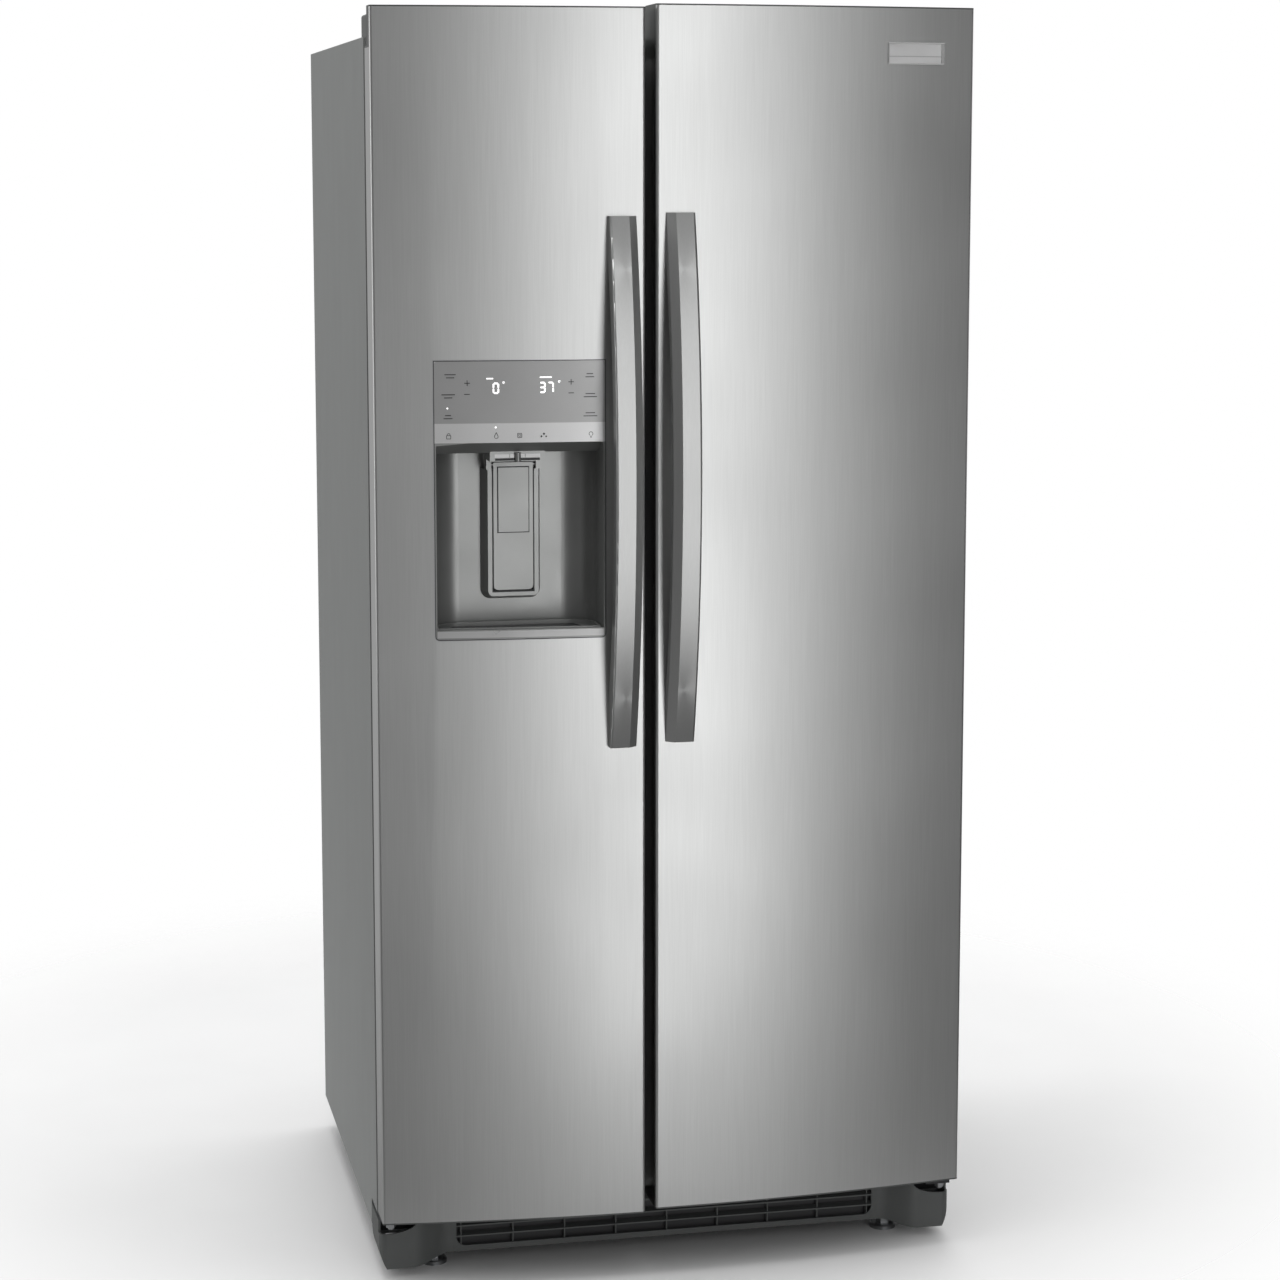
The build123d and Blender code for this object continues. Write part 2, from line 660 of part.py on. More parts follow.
def chute_space():
    """Removes the room that the ice chute takes from the part being built."""
    side_profile(chute_profile(3), (DISPENSER_MID - 38, DISPENSER_MID + 38), mode=Mode.SUBTRACT)


def door_skin(x, z, dispenser, name):
    """Stainless wrapper: a curved front with folded sides, cut back at the top for the hinge."""
    step = z[1] - STEP
    with BuildPart() as skin:
        rise(arc_plan(x, 0, DOOR_BACK, CORNER_R), (z[0] + CAP_EDGE, z[1] - CAP_EDGE))
        rise(arc_plan((x[0] + SKIN, x[1] - SKIN), SKIN, DOOR_BACK + 1, CORNER_R - SKIN), (z[0], z[1]),
             mode=Mode.SUBTRACT)
        rise(arc_plan((x[0] - 1, x[1] + 1), CORNER_R + SKIN, DOOR_BACK + 1), (step, z[1]),
             mode=Mode.SUBTRACT)
        if dispenser:
            dispenser_opening()
    save(skin, name)


def door_foam(x, z, dispenser, name):
    """Insulation that fills the door between its skin and its liner."""
    step = z[1] - STEP
    inner = (x[0] + SKIN, x[1] - SKIN)
    with BuildPart() as foam:
        rise(arc_plan(inner, SKIN, DOOR_BACK - LINER, CORNER_R - SKIN),
             (z[0] + CAP_EDGE + BOTTOM_PLUG, step - TOP_PLUG))
        if dispenser:
            block(BULGE_X, (DOOR_BACK - LINER, BULGE_BACK - LINER), BULGE_Z)
            dispenser_opening()
            chute_space()
    save(foam, name)


def door_liner(x, z, dyke, dispenser, name):
    """Moulded inner face of the door, with a raised dyke that carries the bins."""
    step = z[1] - STEP
    low, high = CAVITY_Z[0] + 10, CAVITY_Z[1] - 14
    with BuildPart() as liner:
        block((x[0] + SKIN, x[1] - SKIN), (DOOR_BACK - LINER, DOOR_BACK), (z[0] + CAP_EDGE, step))
        block(dyke, (DOOR_BACK, DYKE_BACK), (low, high))
        fillet(liner.edges().group_by(Axis.Y)[-1], 8)
        block((dyke[0] + DYKE, dyke[1] - DYKE), (DOOR_BACK, DYKE_BACK + 1), (low + DYKE, high - DYKE),
              mode=Mode.SUBTRACT)
        if dispenser:
            block((BULGE_X[0] - LINER, BULGE_X[1] + LINER), (DOOR_BACK - LINER, BULGE_BACK),
                  (BULGE_Z[0] - LINER, BULGE_Z[1] + LINER))
            block(BULGE_X, (DOOR_BACK - LINER - 1, BULGE_BACK - LINER), BULGE_Z, mode=Mode.SUBTRACT)
            chute_space()
    save(liner, name)


def door_gasket(x, z, hinge_sign, name):
    """Magnetic seal round the door's inner face, a ribbed ring."""
    outer_side = 13.0
    inner_side = 5.0
    edges = (x[0] + (inner_side if hinge_sign > 0 else outer_side),
             x[1] - (outer_side if hinge_sign > 0 else inner_side))
    low, high = z[0] + 12, 1694
    seal = 13.0
    with BuildPart() as gasket:
        block(edges, (DOOR_BACK, CABINET_FRONT - GASKET_GAP), (low, high))
        block((edges[0] + seal, edges[1] - seal), (DOOR_BACK - 1, CABINET_FRONT), (low + seal, high - seal),
              mode=Mode.SUBTRACT)
        block((edges[0] - 1, edges[1] + 1), (DOOR_BACK + 5, DOOR_BACK + 8), (low - 1, low + 2),
              mode=Mode.SUBTRACT)
        block((edges[0] - 1, edges[1] + 1), (DOOR_BACK + 5, DOOR_BACK + 8), (high - 2, high + 1),
              mode=Mode.SUBTRACT)
        for side in (edges[0], edges[1]):
            block((side - 2, side + 2), (DOOR_BACK + 5, DOOR_BACK + 8), (low - 1, high + 1),
                  mode=Mode.SUBTRACT)
    save(gasket, name)


def door_caps(x, z, hinge_sign, name):
    """Moulded end caps: a flat one below, and one above with a tall lip in front of the hinge."""
    step = z[1] - STEP
    pin = hinge_sign * PIN_X
    inner = (x[0] + SKIN, x[1] - SKIN)
    with BuildPart() as caps:
        rise(arc_plan(x, 0, DOOR_BACK, CORNER_R), (z[0], z[0] + CAP_EDGE))
        rise(arc_plan(inner, SKIN, DOOR_BACK - LINER, CORNER_R - SKIN),
             (z[0] + 1, z[0] + CAP_EDGE + BOTTOM_PLUG))
        rise(arc_plan(inner, SKIN, DOOR_BACK - LINER, CORNER_R - SKIN), (step - TOP_PLUG, step))
        rise(arc_plan(x, CORNER_R + SKIN, DOOR_BACK), (step, step + 3))
        rise(arc_plan(x, CORNER_R + SKIN, LIP_BACK), (step, z[1] - CAP_EDGE))
        rise(arc_plan(inner, SKIN, LIP_BACK, CORNER_R - SKIN), (step, z[1] - CAP_EDGE))
        rise(arc_plan(x, 0, LIP_BACK, CORNER_R), (z[1] - CAP_EDGE, z[1]))
        gap_side = (x[1] - GAP_LIP, x[1]) if hinge_sign < 0 else (x[0], x[0] + GAP_LIP)
        block(gap_side, (LIP_BACK - 5, LIP_BACK + 19), (step, z[1]))
        fillet(caps.edges().group_by(Axis.Z)[-1].sort_by(Axis.Y)[-1], 10)
        rod((pin, PIN_Y, z[0] - 1), PIN_R + FIT, 19, mode=Mode.SUBTRACT)
        rod((pin, PIN_Y, step - TOP_PLUG), PIN_R + FIT, 30, mode=Mode.SUBTRACT)
    save(caps, name)


def handle(edge, z_base, hinge_sign, name):
    """Bowed bar handle: flat front, a broad facet beside the door gap, and two feet on the door."""
    low, high = z_base + HANDLE_Z[0], z_base + HANDLE_Z[1]
    middle = (low + high) / 2
    end_out = DOOR_FRONT - 11
    peak = DOOR_FRONT - HANDLE_REACH
    thick = 17.0
    foot = 30.0
    x = (edge + HANDLE_INSET, edge + HANDLE_INSET + HANDLE_WIDTH)
    if hinge_sign < 0:
        x = (edge - HANDLE_INSET - HANDLE_WIDTH, edge - HANDLE_INSET)
    with BuildPart() as bar:
        with BuildSketch(Plane.YZ.offset(x[0])) as profile:
            with BuildLine():
                Line((DOOR_FRONT + 10, low), (end_out, low))
                ThreePointArc((end_out, low), (peak, middle), (end_out, high))
                Line((end_out, high), (DOOR_FRONT + 10, high))
                Line((DOOR_FRONT + 10, high), (DOOR_FRONT + 10, high - foot))
                ThreePointArc((DOOR_FRONT + 10, high - foot), (peak + thick, middle),
                              (DOOR_FRONT + 10, low + foot))
                Line((DOOR_FRONT + 10, low + foot), (DOOR_FRONT + 10, low))
            make_face()
        extrude(profile.sketch, amount=HANDLE_WIDTH)
        front = bar.edges().filter_by(GeomType.CIRCLE).group_by(Axis.Y)[0].sort_by(Axis.X)
        gap_edge = front[0] if hinge_sign > 0 else front[-1]
        far_edge = front[-1] if hinge_sign > 0 else front[0]
        near_face = bar.faces().sort_by(Axis.X)[0 if hinge_sign > 0 else -1]
        chamfer(gap_edge, 8.5, 11.5, reference=near_face)
        fillet(far_edge, 3)
        rise(arc_plan((x[0] - 60, x[1] + 60), 0, DOOR_BACK), (low - 5, high + 5), mode=Mode.SUBTRACT)
    save(bar, name)


def door_bins(x, back, heights, dairy, name):
    """Clear door bins, one open tray at each height, and the dairy box with its lid's pin holes."""
    with BuildPart() as bins:
        for z, tall in heights:
            block(x, (DOOR_BACK, back), (z, z + tall))
        fillet(bins.edges().filter_by(Axis.Z).filter_by(lambda e: e.center().Y > back - 1), 14)
        for z, tall in heights:
            block((x[0] + 3, x[1] - 3), (DOOR_BACK + 3, back - 3), (z + 3, z + tall + 1),
                  mode=Mode.SUBTRACT)
            block((x[0] + 30, x[1] - 30), (DOOR_BACK - 1, DOOR_BACK + 5), (z + tall * 0.6, z + tall + 1),
                  mode=Mode.SUBTRACT)
        if dairy:
            block(x, (DOOR_BACK, -160), DAIRY_Z)
            block((x[0] + 3, x[1] - 3), (DOOR_BACK + 3, -159), (DAIRY_Z[0] + 3, DAIRY_Z[1] + 1),
                  mode=Mode.SUBTRACT)
            block((x[0] - 1, x[1] + 1), (-164, -159), (DAIRY_Z[0] + 50, DAIRY_Z[1] + 1), mode=Mode.SUBTRACT)
            rod((x[0] - 1, *DAIRY_AXIS), 2.5 + FIT, x[1] - x[0] + 2, "X", mode=Mode.SUBTRACT)
    save(bins, name)


def dairy_lid():
    """Clear lid of the dairy compartment, which swings up about pins in its sides."""
    with BuildPart() as lid:
        block((18, 348), (-240, -170), (1588, 1591))
        with Locations(Location((183, -170, 1589.5), (0, 90, 0))):
            Cylinder(4, 330)
        block((18, 348), (-174, -170), (1540, 1590))
        rod((14.5, -240, 1590), 2.5, 337, "X")
    save(lid, "dairy_lid")


def name_plate():
    """Small blank metal plate near the top of the fresh food door."""
    with BuildPart() as plate:
        rise(arc_plan((291, 371), -2.0, -320), (1694, 1723.5))
        rise(arc_plan((280, 380), 0, -300), (1690, 1730), mode=Mode.SUBTRACT)
    save(plate, "name_plate")


# Dispenser ----------------------------------------------------------------------------------

def dispenser_housing():
    """Moulded recess for a glass, with the pocket behind the control panel above it."""
    left, right = DISPENSER_X
    floor, ceiling = RECESS_Z
    with BuildPart() as housing:
        rise(arc_plan(DISPENSER_X, 0, RECESS_BACK + LINER), DISPENSER_Z)
        corners = housing.edges().filter_by(lambda e: abs(e.center().Z - sum(DISPENSER_Z) / 2) > 180)
        fillet([e for e in corners.filter_by(Axis.Y)], 5)
        rise(arc_plan((left + 2, right - 2), -2, RECESS_BACK, back_corner=42), (LIP_TOP, ceiling),
             mode=Mode.SUBTRACT)
        rise(arc_plan((left + 2, right - 2), 9, RECESS_BACK, back_corner=42), (floor, ceiling),
             mode=Mode.SUBTRACT)
        side_profile([(DOOR_FRONT - 1, ceiling - 1), (DOOR_FRONT - 1, PANEL_BOTTOM + 2),
                      (-338, PANEL_BOTTOM),
                      (-318, ceiling), (-318, ceiling - 1)], (left + 2, right - 2), mode=Mode.SUBTRACT)
        rise(arc_plan((left - 1, right + 1), -2, PANEL_BACK), (PANEL_BOTTOM, DISPENSER_Z[1] + 1),
             mode=Mode.SUBTRACT)
        block((left + 3, right - 3), (PANEL_BACK - 1, RECESS_BACK), (PANEL_BOTTOM + 3, DISPENSER_Z[1] - 3),
              mode=Mode.SUBTRACT)
        with BuildSketch(Plane.XZ.offset(-RECESS_BACK)) as surround:
            with Locations((DISPENSER_MID, (SURROUND_Z[0] + SURROUND_TRIM) / 2)):
                RectangleRounded(SURROUND_WIDTH, SURROUND_TRIM - SURROUND_Z[0], 14)
        extrude(surround.sketch, amount=SURROUND_DEPTH, taper=SURROUND_DRAFT)
        block((DISPENSER_MID - SURROUND_WIDTH / 2 - 1, DISPENSER_MID + SURROUND_WIDTH / 2 + 1),
              (RECESS_BACK - SURROUND_DEPTH - 1, RECESS_BACK), (SURROUND_Z[1], SURROUND_TRIM + 0.5),
              mode=Mode.SUBTRACT)
        pocket = (DISPENSER_MID - PADDLE_WIDTH / 2 - 2, DISPENSER_MID + PADDLE_WIDTH / 2 + 2)
        block(pocket, (RECESS_BACK - SURROUND_DEPTH - 1, RECESS_BACK),
              (PADDLE_BOTTOM - 3.5, SURROUND_Z[1] + 1),
              mode=Mode.SUBTRACT)
        chute_space()
    save(housing, "dispenser_housing")


def control_panel():
    """Curved control panel across the top of the dispenser."""
    with BuildPart() as panel:
        rise(arc_plan(DISPENSER_X, 0, PANEL_BACK), (PANEL_BOTTOM, DISPENSER_Z[1]))
        fillet(panel.edges().filter_by(lambda e: e.center().Z > DISPENSER_Z[1] - 1).filter_by(Axis.Y), 5)
    save(panel, "control_panel")


def ice_chute():
    """Ice chute from the freezer to the recess, with the water nozzle and the paddle's ears."""
    mid = DISPENSER_MID
    y, z = PADDLE_AXIS
    with BuildPart() as chute:
        side_profile(chute_profile(3), (mid - 38, mid + 38))
        side_profile(chute_profile(0), (mid - 35, mid + 35), mode=Mode.SUBTRACT)
        for side in (-1, 1):
            ear = pair(side, 31, 38)
            block((mid + ear[0], mid + ear[1]), (-289, -274), (z - 6, 1166))
            rod((mid + ear[0] - 1, y, z), 2.5 + FIT, 9, "X", mode=Mode.SUBTRACT)
            rod((mid + pair(side, 34, 38)[0], *FLAP_AXIS), 1.5 + FIT, 4, "X", mode=Mode.SUBTRACT)
        rod((mid, -323, 1158), 4, 12)
        rod((mid, -323, 1157), 2.5, 14, mode=Mode.SUBTRACT)
    save(chute, "ice_chute")


def chute_flap():
    """Flap that closes the foot of the ice chute and lifts when the paddle is pressed."""
    mid = DISPENSER_MID
    y, z = FLAP_AXIS
    with BuildPart() as flap:
        block((mid - 33, mid + 33), (-315.5, y + 1), (z - 1.2, z + 1.2))
        rod((mid - 37, y, z), 1.5, 74, "X")
    save(flap, "chute_flap")


def dispenser_paddle():
    """Paddle that hangs below the chute on two short pins, with a softer pad on its upper half."""
    mid = DISPENSER_MID
    y, z = PADDLE_AXIS
    with BuildPart() as paddle:
        block((mid - PADDLE_WIDTH / 2, mid + PADDLE_WIDTH / 2), (y - 3, y + 3), (PADDLE_BOTTOM, z + 3))
        fillet(paddle.edges().filter_by(Axis.Y).group_by(Axis.Z)[0], 6)
        block((mid - 21, mid + 21), (y - 5, y - 2), (1057, 1146))
        rod((mid - 36, y, z), 2.5, 72, "X")
    save(paddle, "dispenser_paddle")


def drip_tray():
    """Shallow removable tray on the recess floor."""
    left, right = DISPENSER_X
    floor = RECESS_Z[0]
    with BuildPart() as tray:
        rise(arc_plan((left + 4, right - 4), 11, RECESS_BACK - 14, back_corner=36), (floor, floor + 9))
        rise(arc_plan((left + 8, right - 8), 15, RECESS_BACK - 18, back_corner=32),
             (floor + 2.5, floor + 10),
             mode=Mode.SUBTRACT)
    save(tray, "drip_tray")


def build_cabinet():
    """Everything that stays with the cabinet."""
    side_panel(-1, "side_panel_left")
    side_panel(1, "side_panel_right")
    top_panel()
    rear_panel()
    shelf_front, shelf_back = -125, 270
    compartment(FREEZER_X, (-FLANGE_X, LINER_SPLIT),
                [(740, shelf_front, shelf_back), (960, shelf_front, shelf_back), (1238, -110, 190)],
                "freezer_liner")
    compartment(FRIDGE_X, (LINER_SPLIT, FLANGE_X),
                [(580, -113, 280), (800, -122, 290), (1060, -122, 290), (1320, -122, 290), (346, -90, 280)],
                "fridge_liner")
    cabinet_foam()
    base_frame()
    rollers(FRONT_ROLLER_Y, "front_rollers")
    rollers(REAR_ROLLER_Y, "rear_rollers")
    levelling_leg(-1, "levelling_leg_left")
    levelling_leg(1, "levelling_leg_right")
    toe_grille()
    machine_cover()
    top_hinges()
    hinge_covers()
    bottom_hinges()
    compressor()
    condenser_coil()
    fan_shroud()
    drain_pan()
    water_valve()
    power_inlet()
    x, y, z = CONDENSER_FAN
    fan((x, y, z), "X", 62, 12, 3 + FIT, "condenser_fan")


def build_compartments():
    """Fixed and sliding pieces inside the two compartments."""
    evaporator_coil()
    evaporator_cover()
    fan(EVAPORATOR_FAN, "Y", 50, 12, 3 + FIT, "evaporator_fan")
    freezer_shelves()
    ice_maker()
    ice_bin()
    ice_auger()
    drawer((-364, -85), (-110, 118), (138, 330), 3, "lower_basket", vents=True)
    drawer((-364, -85), (-110, 262), (420, 640), 3, "upper_basket", vents=True)
    fridge_shelves()
    crisper_cover()
    drawer((-4, 364), (-104, 118), (138, 332), 3, "lower_crisper")
    drawer((-4, 364), (-104, 262), (347, 566), 3, "upper_crisper")
    water_filter()


def build_freezer_door():
    """The left door with its dispenser."""
    x, z = FREEZER_DOOR_X, FREEZER_DOOR_Z
    door_skin(x, z, True, "freezer_door_skin")
    door_foam(x, z, True, "freezer_door_foam")
    door_liner(x, z, (-366, -88), True, "freezer_door_liner")
    door_gasket(x, z, -1, "freezer_door_gasket")
    door_caps(x, z, -1, "freezer_door_caps")
    handle(x[1], z[0], -1, "freezer_handle")
    door_bins((-352, -104), -162, [(200, 110), (430, 110), (660, 110), (1440, 110)], False,
              "freezer_door_bins")
    dispenser_housing()
    control_panel()
    ice_chute()
    chute_flap()
    dispenser_paddle()
    drip_tray()


def build_fridge_door():
    """The right door."""
    x, z = FRIDGE_DOOR_X, FRIDGE_DOOR_Z
    door_skin(x, z, False, "fridge_door_skin")
    door_foam(x, z, False, "fridge_door_foam")
    door_liner(x, z, (-2, 366), False, "fridge_door_liner")
    door_gasket(x, z, 1, "fridge_door_gasket")
    door_caps(x, z, 1, "fridge_door_caps")
    handle(x[0], z[0], 1, "fridge_handle")
    door_bins((14, 352), -152, [(220, 120), (520, 110), (840, 110), (1140, 110)], True, "fridge_door_bins")
    dairy_lid()
    name_plate()


os.makedirs(PARTS, exist_ok=True)
build_cabinet()
build_compartments()
build_freezer_door()
build_fridge_door()
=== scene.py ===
"""Looks of the side by side refrigerator: materials, printed marks, lamps, screws, studio and camera.

Everything is in metres in the frame's own axes: +Z up, the doors face -Y, x 0 is the middle.
"""
import json
from math import cos, pi, radians, sin

import bmesh
import bpy
from mathutils import Matrix, Vector


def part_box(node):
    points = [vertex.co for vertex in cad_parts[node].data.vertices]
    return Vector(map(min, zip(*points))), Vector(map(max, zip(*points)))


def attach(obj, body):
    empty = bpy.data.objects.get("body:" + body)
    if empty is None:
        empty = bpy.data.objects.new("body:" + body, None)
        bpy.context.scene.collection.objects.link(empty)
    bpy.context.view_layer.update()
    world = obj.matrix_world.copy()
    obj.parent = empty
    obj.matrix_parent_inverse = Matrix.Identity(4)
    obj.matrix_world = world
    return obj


MM = 0.001

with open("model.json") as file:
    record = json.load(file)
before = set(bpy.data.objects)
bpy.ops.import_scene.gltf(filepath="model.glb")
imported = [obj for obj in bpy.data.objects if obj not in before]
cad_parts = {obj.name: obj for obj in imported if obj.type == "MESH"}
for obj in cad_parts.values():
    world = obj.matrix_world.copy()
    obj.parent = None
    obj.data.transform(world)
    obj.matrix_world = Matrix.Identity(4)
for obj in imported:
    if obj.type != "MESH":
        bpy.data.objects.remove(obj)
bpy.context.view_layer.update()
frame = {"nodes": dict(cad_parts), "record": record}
NODES = frame["nodes"]


# Node helpers -------------------------------------------------------------------------------

class Surface:
    """A material under construction: its node tree, its shader and its object-space coordinates."""

    def __init__(self, name, **sockets):
        self.material = bpy.data.materials.new(name)
        self.material.use_nodes = True
        self.tree = self.material.node_tree
        self.shader = self.tree.nodes["Principled BSDF"]
        for socket, value in sockets.items():
            self.shader.inputs[socket.replace("_", " ")].default_value = value
        self.place = self.tree.nodes.new("ShaderNodeTexCoord").outputs["Object"]

    def add(self, kind, **settings):
        """A new shader node of the given kind."""
        node = self.tree.nodes.new("ShaderNode" + kind)
        for key, value in settings.items():
            setattr(node, key, value)
        return node

    def link(self, source, target):
        """Joins an output to an input."""
        self.tree.links.new(source, target)

    def stretched(self, stretch):
        """Object coordinates scaled per axis: a small number draws the pattern out along that axis."""
        mapping = self.add("Mapping")
        mapping.inputs["Scale"].default_value = stretch
        self.link(self.place, mapping.inputs["Vector"])
        return mapping.outputs["Vector"]

    def noise(self, stretch, detail=3.0):
        """Noise whose features are about 1 / stretch metres across."""
        texture = self.add("TexNoise")
        texture.inputs["Scale"].default_value = 1.0
        texture.inputs["Detail"].default_value = detail
        self.link(self.stretched(stretch), texture.inputs["Vector"])
        return texture.outputs["Fac"]

    def cells(self, scale):
        """Angular cells, as in zinc spangle."""
        texture = self.add("TexVoronoi")
        texture.inputs["Scale"].default_value = scale
        self.link(self.place, texture.inputs["Vector"])
        return texture.outputs["Color"]

    def remap(self, value, source, target, smooth=False):
        """Carries a value from the source range to the target range, clamped."""
        node = self.add("MapRange", interpolation_type="SMOOTHSTEP" if smooth else "LINEAR")
        for socket, number in zip(("From Min", "From Max", "To Min", "To Max"), (*source, *target)):
            node.inputs[socket].default_value = number
        self.link(value, node.inputs["Value"])
        return node.outputs["Result"]

    def blend(self, factor, first, second):
        """Colour that goes from first to second as factor goes from 0 to 1."""
        mix = self.add("Mix", data_type="RGBA")
        self.link(factor, mix.inputs["Factor"])
        for socket, colour in ((mix.inputs[6], first), (mix.inputs[7], second)):
            if isinstance(colour, tuple):
                socket.default_value = (*colour, 1.0)
            else:
                self.link(colour, socket)
        return mix.outputs[2]

    def height(self):
        """Height above the floor."""
        split = self.add("SeparateXYZ")
        self.link(self.place, split.inputs["Vector"])
        return split.outputs["Z"]

    def paint(self, colour):
        """Sets the base colour from a node."""
        self.link(colour, self.shader.inputs["Base Color"])

    def gloss(self, value, low, high):
        """Roughness that wanders between low and high with the value."""
        self.link(self.remap(value, (0.3, 0.7), (low, high)), self.shader.inputs["Roughness"])

    def bump(self, value, depth, strength=1.0):
        """Fine relief of the given depth in metres."""
        node = self.add("Bump")
        node.inputs["Distance"].default_value = depth
        node.inputs["Strength"].default_value = strength
        self.link(value, node.inputs["Height"])
        self.link(node.outputs["Normal"], self.shader.inputs["Normal"])


def shade(colour, factor):
    """The colour, darker or brighter by the factor."""
    return tuple(channel * factor for channel in colour)


# Materials ----------------------------------------------------------------------------------

GAP_MIDDLE = -43.9 * MM
GAP_REACH = 8.2 * MM
GAP_FRONT = -345.5 * MM
# Dark grey painted on the door edges inside the gap: painted shade between the doors.
GAP_SHADE_GREY = (0.075, 0.076, 0.075)


def brushed_steel(name, colour, roughness, hair=700.0, streak=0.03, painted_gap_shade=False):
    """Vertically brushed steel with faint streaks; a door's skin is painted dark grey inside the gap, as
    painted shade that makes the gap read dark.
    """
    steel = Surface(name, Metallic=1.0, Anisotropic=0.35)
    hairlines = steel.noise((hair, hair, hair / 60), 2.0)
    streaks = steel.noise((45.0, 45.0, 0.9), 4.0)
    clouds = steel.noise((3.0, 3.0, 3.0), 2.0)
    lines = steel.remap(hairlines, (0.3, 0.7), (0.0, 1.0))
    fine = steel.blend(lines, shade(colour, 1 - streak), shade(colour, 1 + streak))
    broad = steel.remap(streaks, (0.3, 0.7), (0.0, 0.35))
    finish = steel.blend(broad, fine, shade(colour, 1 - 2 * streak))
    # Painted shade: the skin's edge inside the door gap turns dark grey so the gap reads dark.
    if painted_gap_shade:
        split = steel.add("SeparateXYZ")
        steel.link(steel.place, split.inputs["Vector"])
        edges = (GAP_MIDDLE - GAP_REACH, GAP_MIDDLE + GAP_REACH)
        beside = steel.remap(split.outputs["X"], edges, (-1.0, 1.0))
        near = steel.add("Math", operation="ABSOLUTE")
        steel.link(beside, near.inputs[0])
        inside = steel.remap(near.outputs["Value"], (0.97, 1.0), (1.0, 0.0))
        behind = steel.remap(split.outputs["Y"], (GAP_FRONT, GAP_FRONT + 3 * MM), (0.0, 1.0))
        both = steel.add("Math", operation="MULTIPLY")
        steel.link(inside, both.inputs[0])
        steel.link(behind, both.inputs[1])
        finish = steel.blend(both.outputs["Value"], finish, GAP_SHADE_GREY)
    steel.paint(finish)
    steel.gloss(clouds, roughness - 0.02, roughness + 0.02)
    steel.bump(hairlines, 0.004 * MM)
    return steel.material


def moulded(name, colour, roughness, grain=1400.0, depth=0.02, metallic=0.0, **sockets):
    """Moulded or painted part: fine spark-eroded grain, slight clouding in colour and gloss."""
    part = Surface(name, Metallic=metallic, **sockets)
    texture = part.noise((grain, grain, grain), 3.0)
    clouds = part.noise((14.0, 14.0, 14.0), 3.0)
    cloudy = part.remap(clouds, (0.3, 0.7), (0.0, 1.0))
    part.paint(part.blend(cloudy, shade(colour, 0.95), shade(colour, 1.05)))
    part.gloss(clouds, roughness - 0.04, roughness + 0.04)
    part.bump(texture, depth * MM)
    return part.material


def side_paint():
    """Grey pre-painted steel: leather-like embossing and a faint drawn-out vertical mottle."""
    colour = (0.285, 0.293, 0.289)
    paint = Surface("side_paint", Metallic=0.0, Specular_IOR_Level=0.25)
    leather = paint.noise((420.0, 420.0, 300.0), 2.0)
    mottle = paint.noise((45.0, 30.0, 7.0), 3.0)
    patches = paint.remap(mottle, (0.3, 0.7), (0.0, 1.0))
    paint.paint(paint.blend(patches, shade(colour, 0.94), shade(colour, 1.06)))
    paint.gloss(mottle, 0.52, 0.6)
    paint.bump(leather, 0.12 * MM, 0.5)
    return paint.material


def zinc():
    """Galvanised steel with spangle."""
    sheet = Surface("galvanised_steel", Metallic=1.0)
    spangle = sheet.cells(90.0)
    value = sheet.add("RGBToBW")
    sheet.link(spangle, value.inputs["Color"])
    sheet.paint(sheet.blend(value.outputs["Val"], (0.38, 0.39, 0.40), (0.50, 0.51, 0.52)))
    sheet.link(sheet.remap(value.outputs["Val"], (0.0, 1.0), (0.32, 0.5)), sheet.shader.inputs["Roughness"])
    sheet.bump(sheet.noise((500.0, 500.0, 500.0)), 0.01 * MM)
    return sheet.material


def control_face(split):
    """Display window above the split height, brighter button strip below it."""
    face = Surface("control_face", Metallic=0.35, Coat_Weight=0.4, Coat_Roughness=0.12)
    window, strip = (0.47, 0.47, 0.47), (0.78, 0.78, 0.78)
    below = face.remap(face.height(), (split - 0.3 * MM, split + 0.3 * MM), (1.0, 0.0))
    fleck = face.noise((2200.0, 2200.0, 2200.0), 2.0)
    flecks = face.remap(fleck, (0.3, 0.7), (0.0, 1.0))
    dark = face.blend(flecks, shade(window, 0.96), shade(window, 1.04))
    light = face.blend(flecks, shade(strip, 0.97), shade(strip, 1.03))
    face.paint(face.blend(below, dark, light))
    face.gloss(face.noise((20.0, 20.0, 20.0)), 0.3, 0.36)
    face.bump(fleck, 0.003 * MM)
    return face.material


def clear_plastic(name, tint, roughness):
    """Clear moulded plastic or glass with faint flow marks."""
    clear = Surface(name, Transmission_Weight=0.92, IOR=1.49)
    flow = clear.noise((9.0, 9.0, 5.0), 3.0)
    thick = clear.remap(flow, (0.3, 0.7), (0.0, 1.0))
    clear.paint(clear.blend(thick, shade(tint, 0.96), tint))
    clear.gloss(flow, roughness, roughness + 0.05)
    clear.bump(flow, 0.05 * MM)
    return clear.material


def insulation():
    """Rigid foam: pale yellow with open cells, painted near black below 101 mm as painted shade seen
    through the intake.
    """
    foam = Surface("insulation_foam", Metallic=0.0)
    pores = foam.noise((380.0, 380.0, 380.0), 4.0)
    value = foam.remap(pores, (0.35, 0.65), (0.0, 1.0))
    cream = foam.blend(value, (0.62, 0.50, 0.26), (0.80, 0.70, 0.42))
    # Painted shade: the foam below 101 mm is painted near black so the intake behind the louvres reads
    # dark.
    under = foam.remap(foam.height(), (100.5 * MM, 101.5 * MM), (1.0, 0.0))
    foam.paint(foam.blend(under, cream, (0.03, 0.03, 0.03)))
    foam.gloss(pores, 0.85, 0.95)
    foam.bump(pores, 0.6 * MM)
    return foam.material


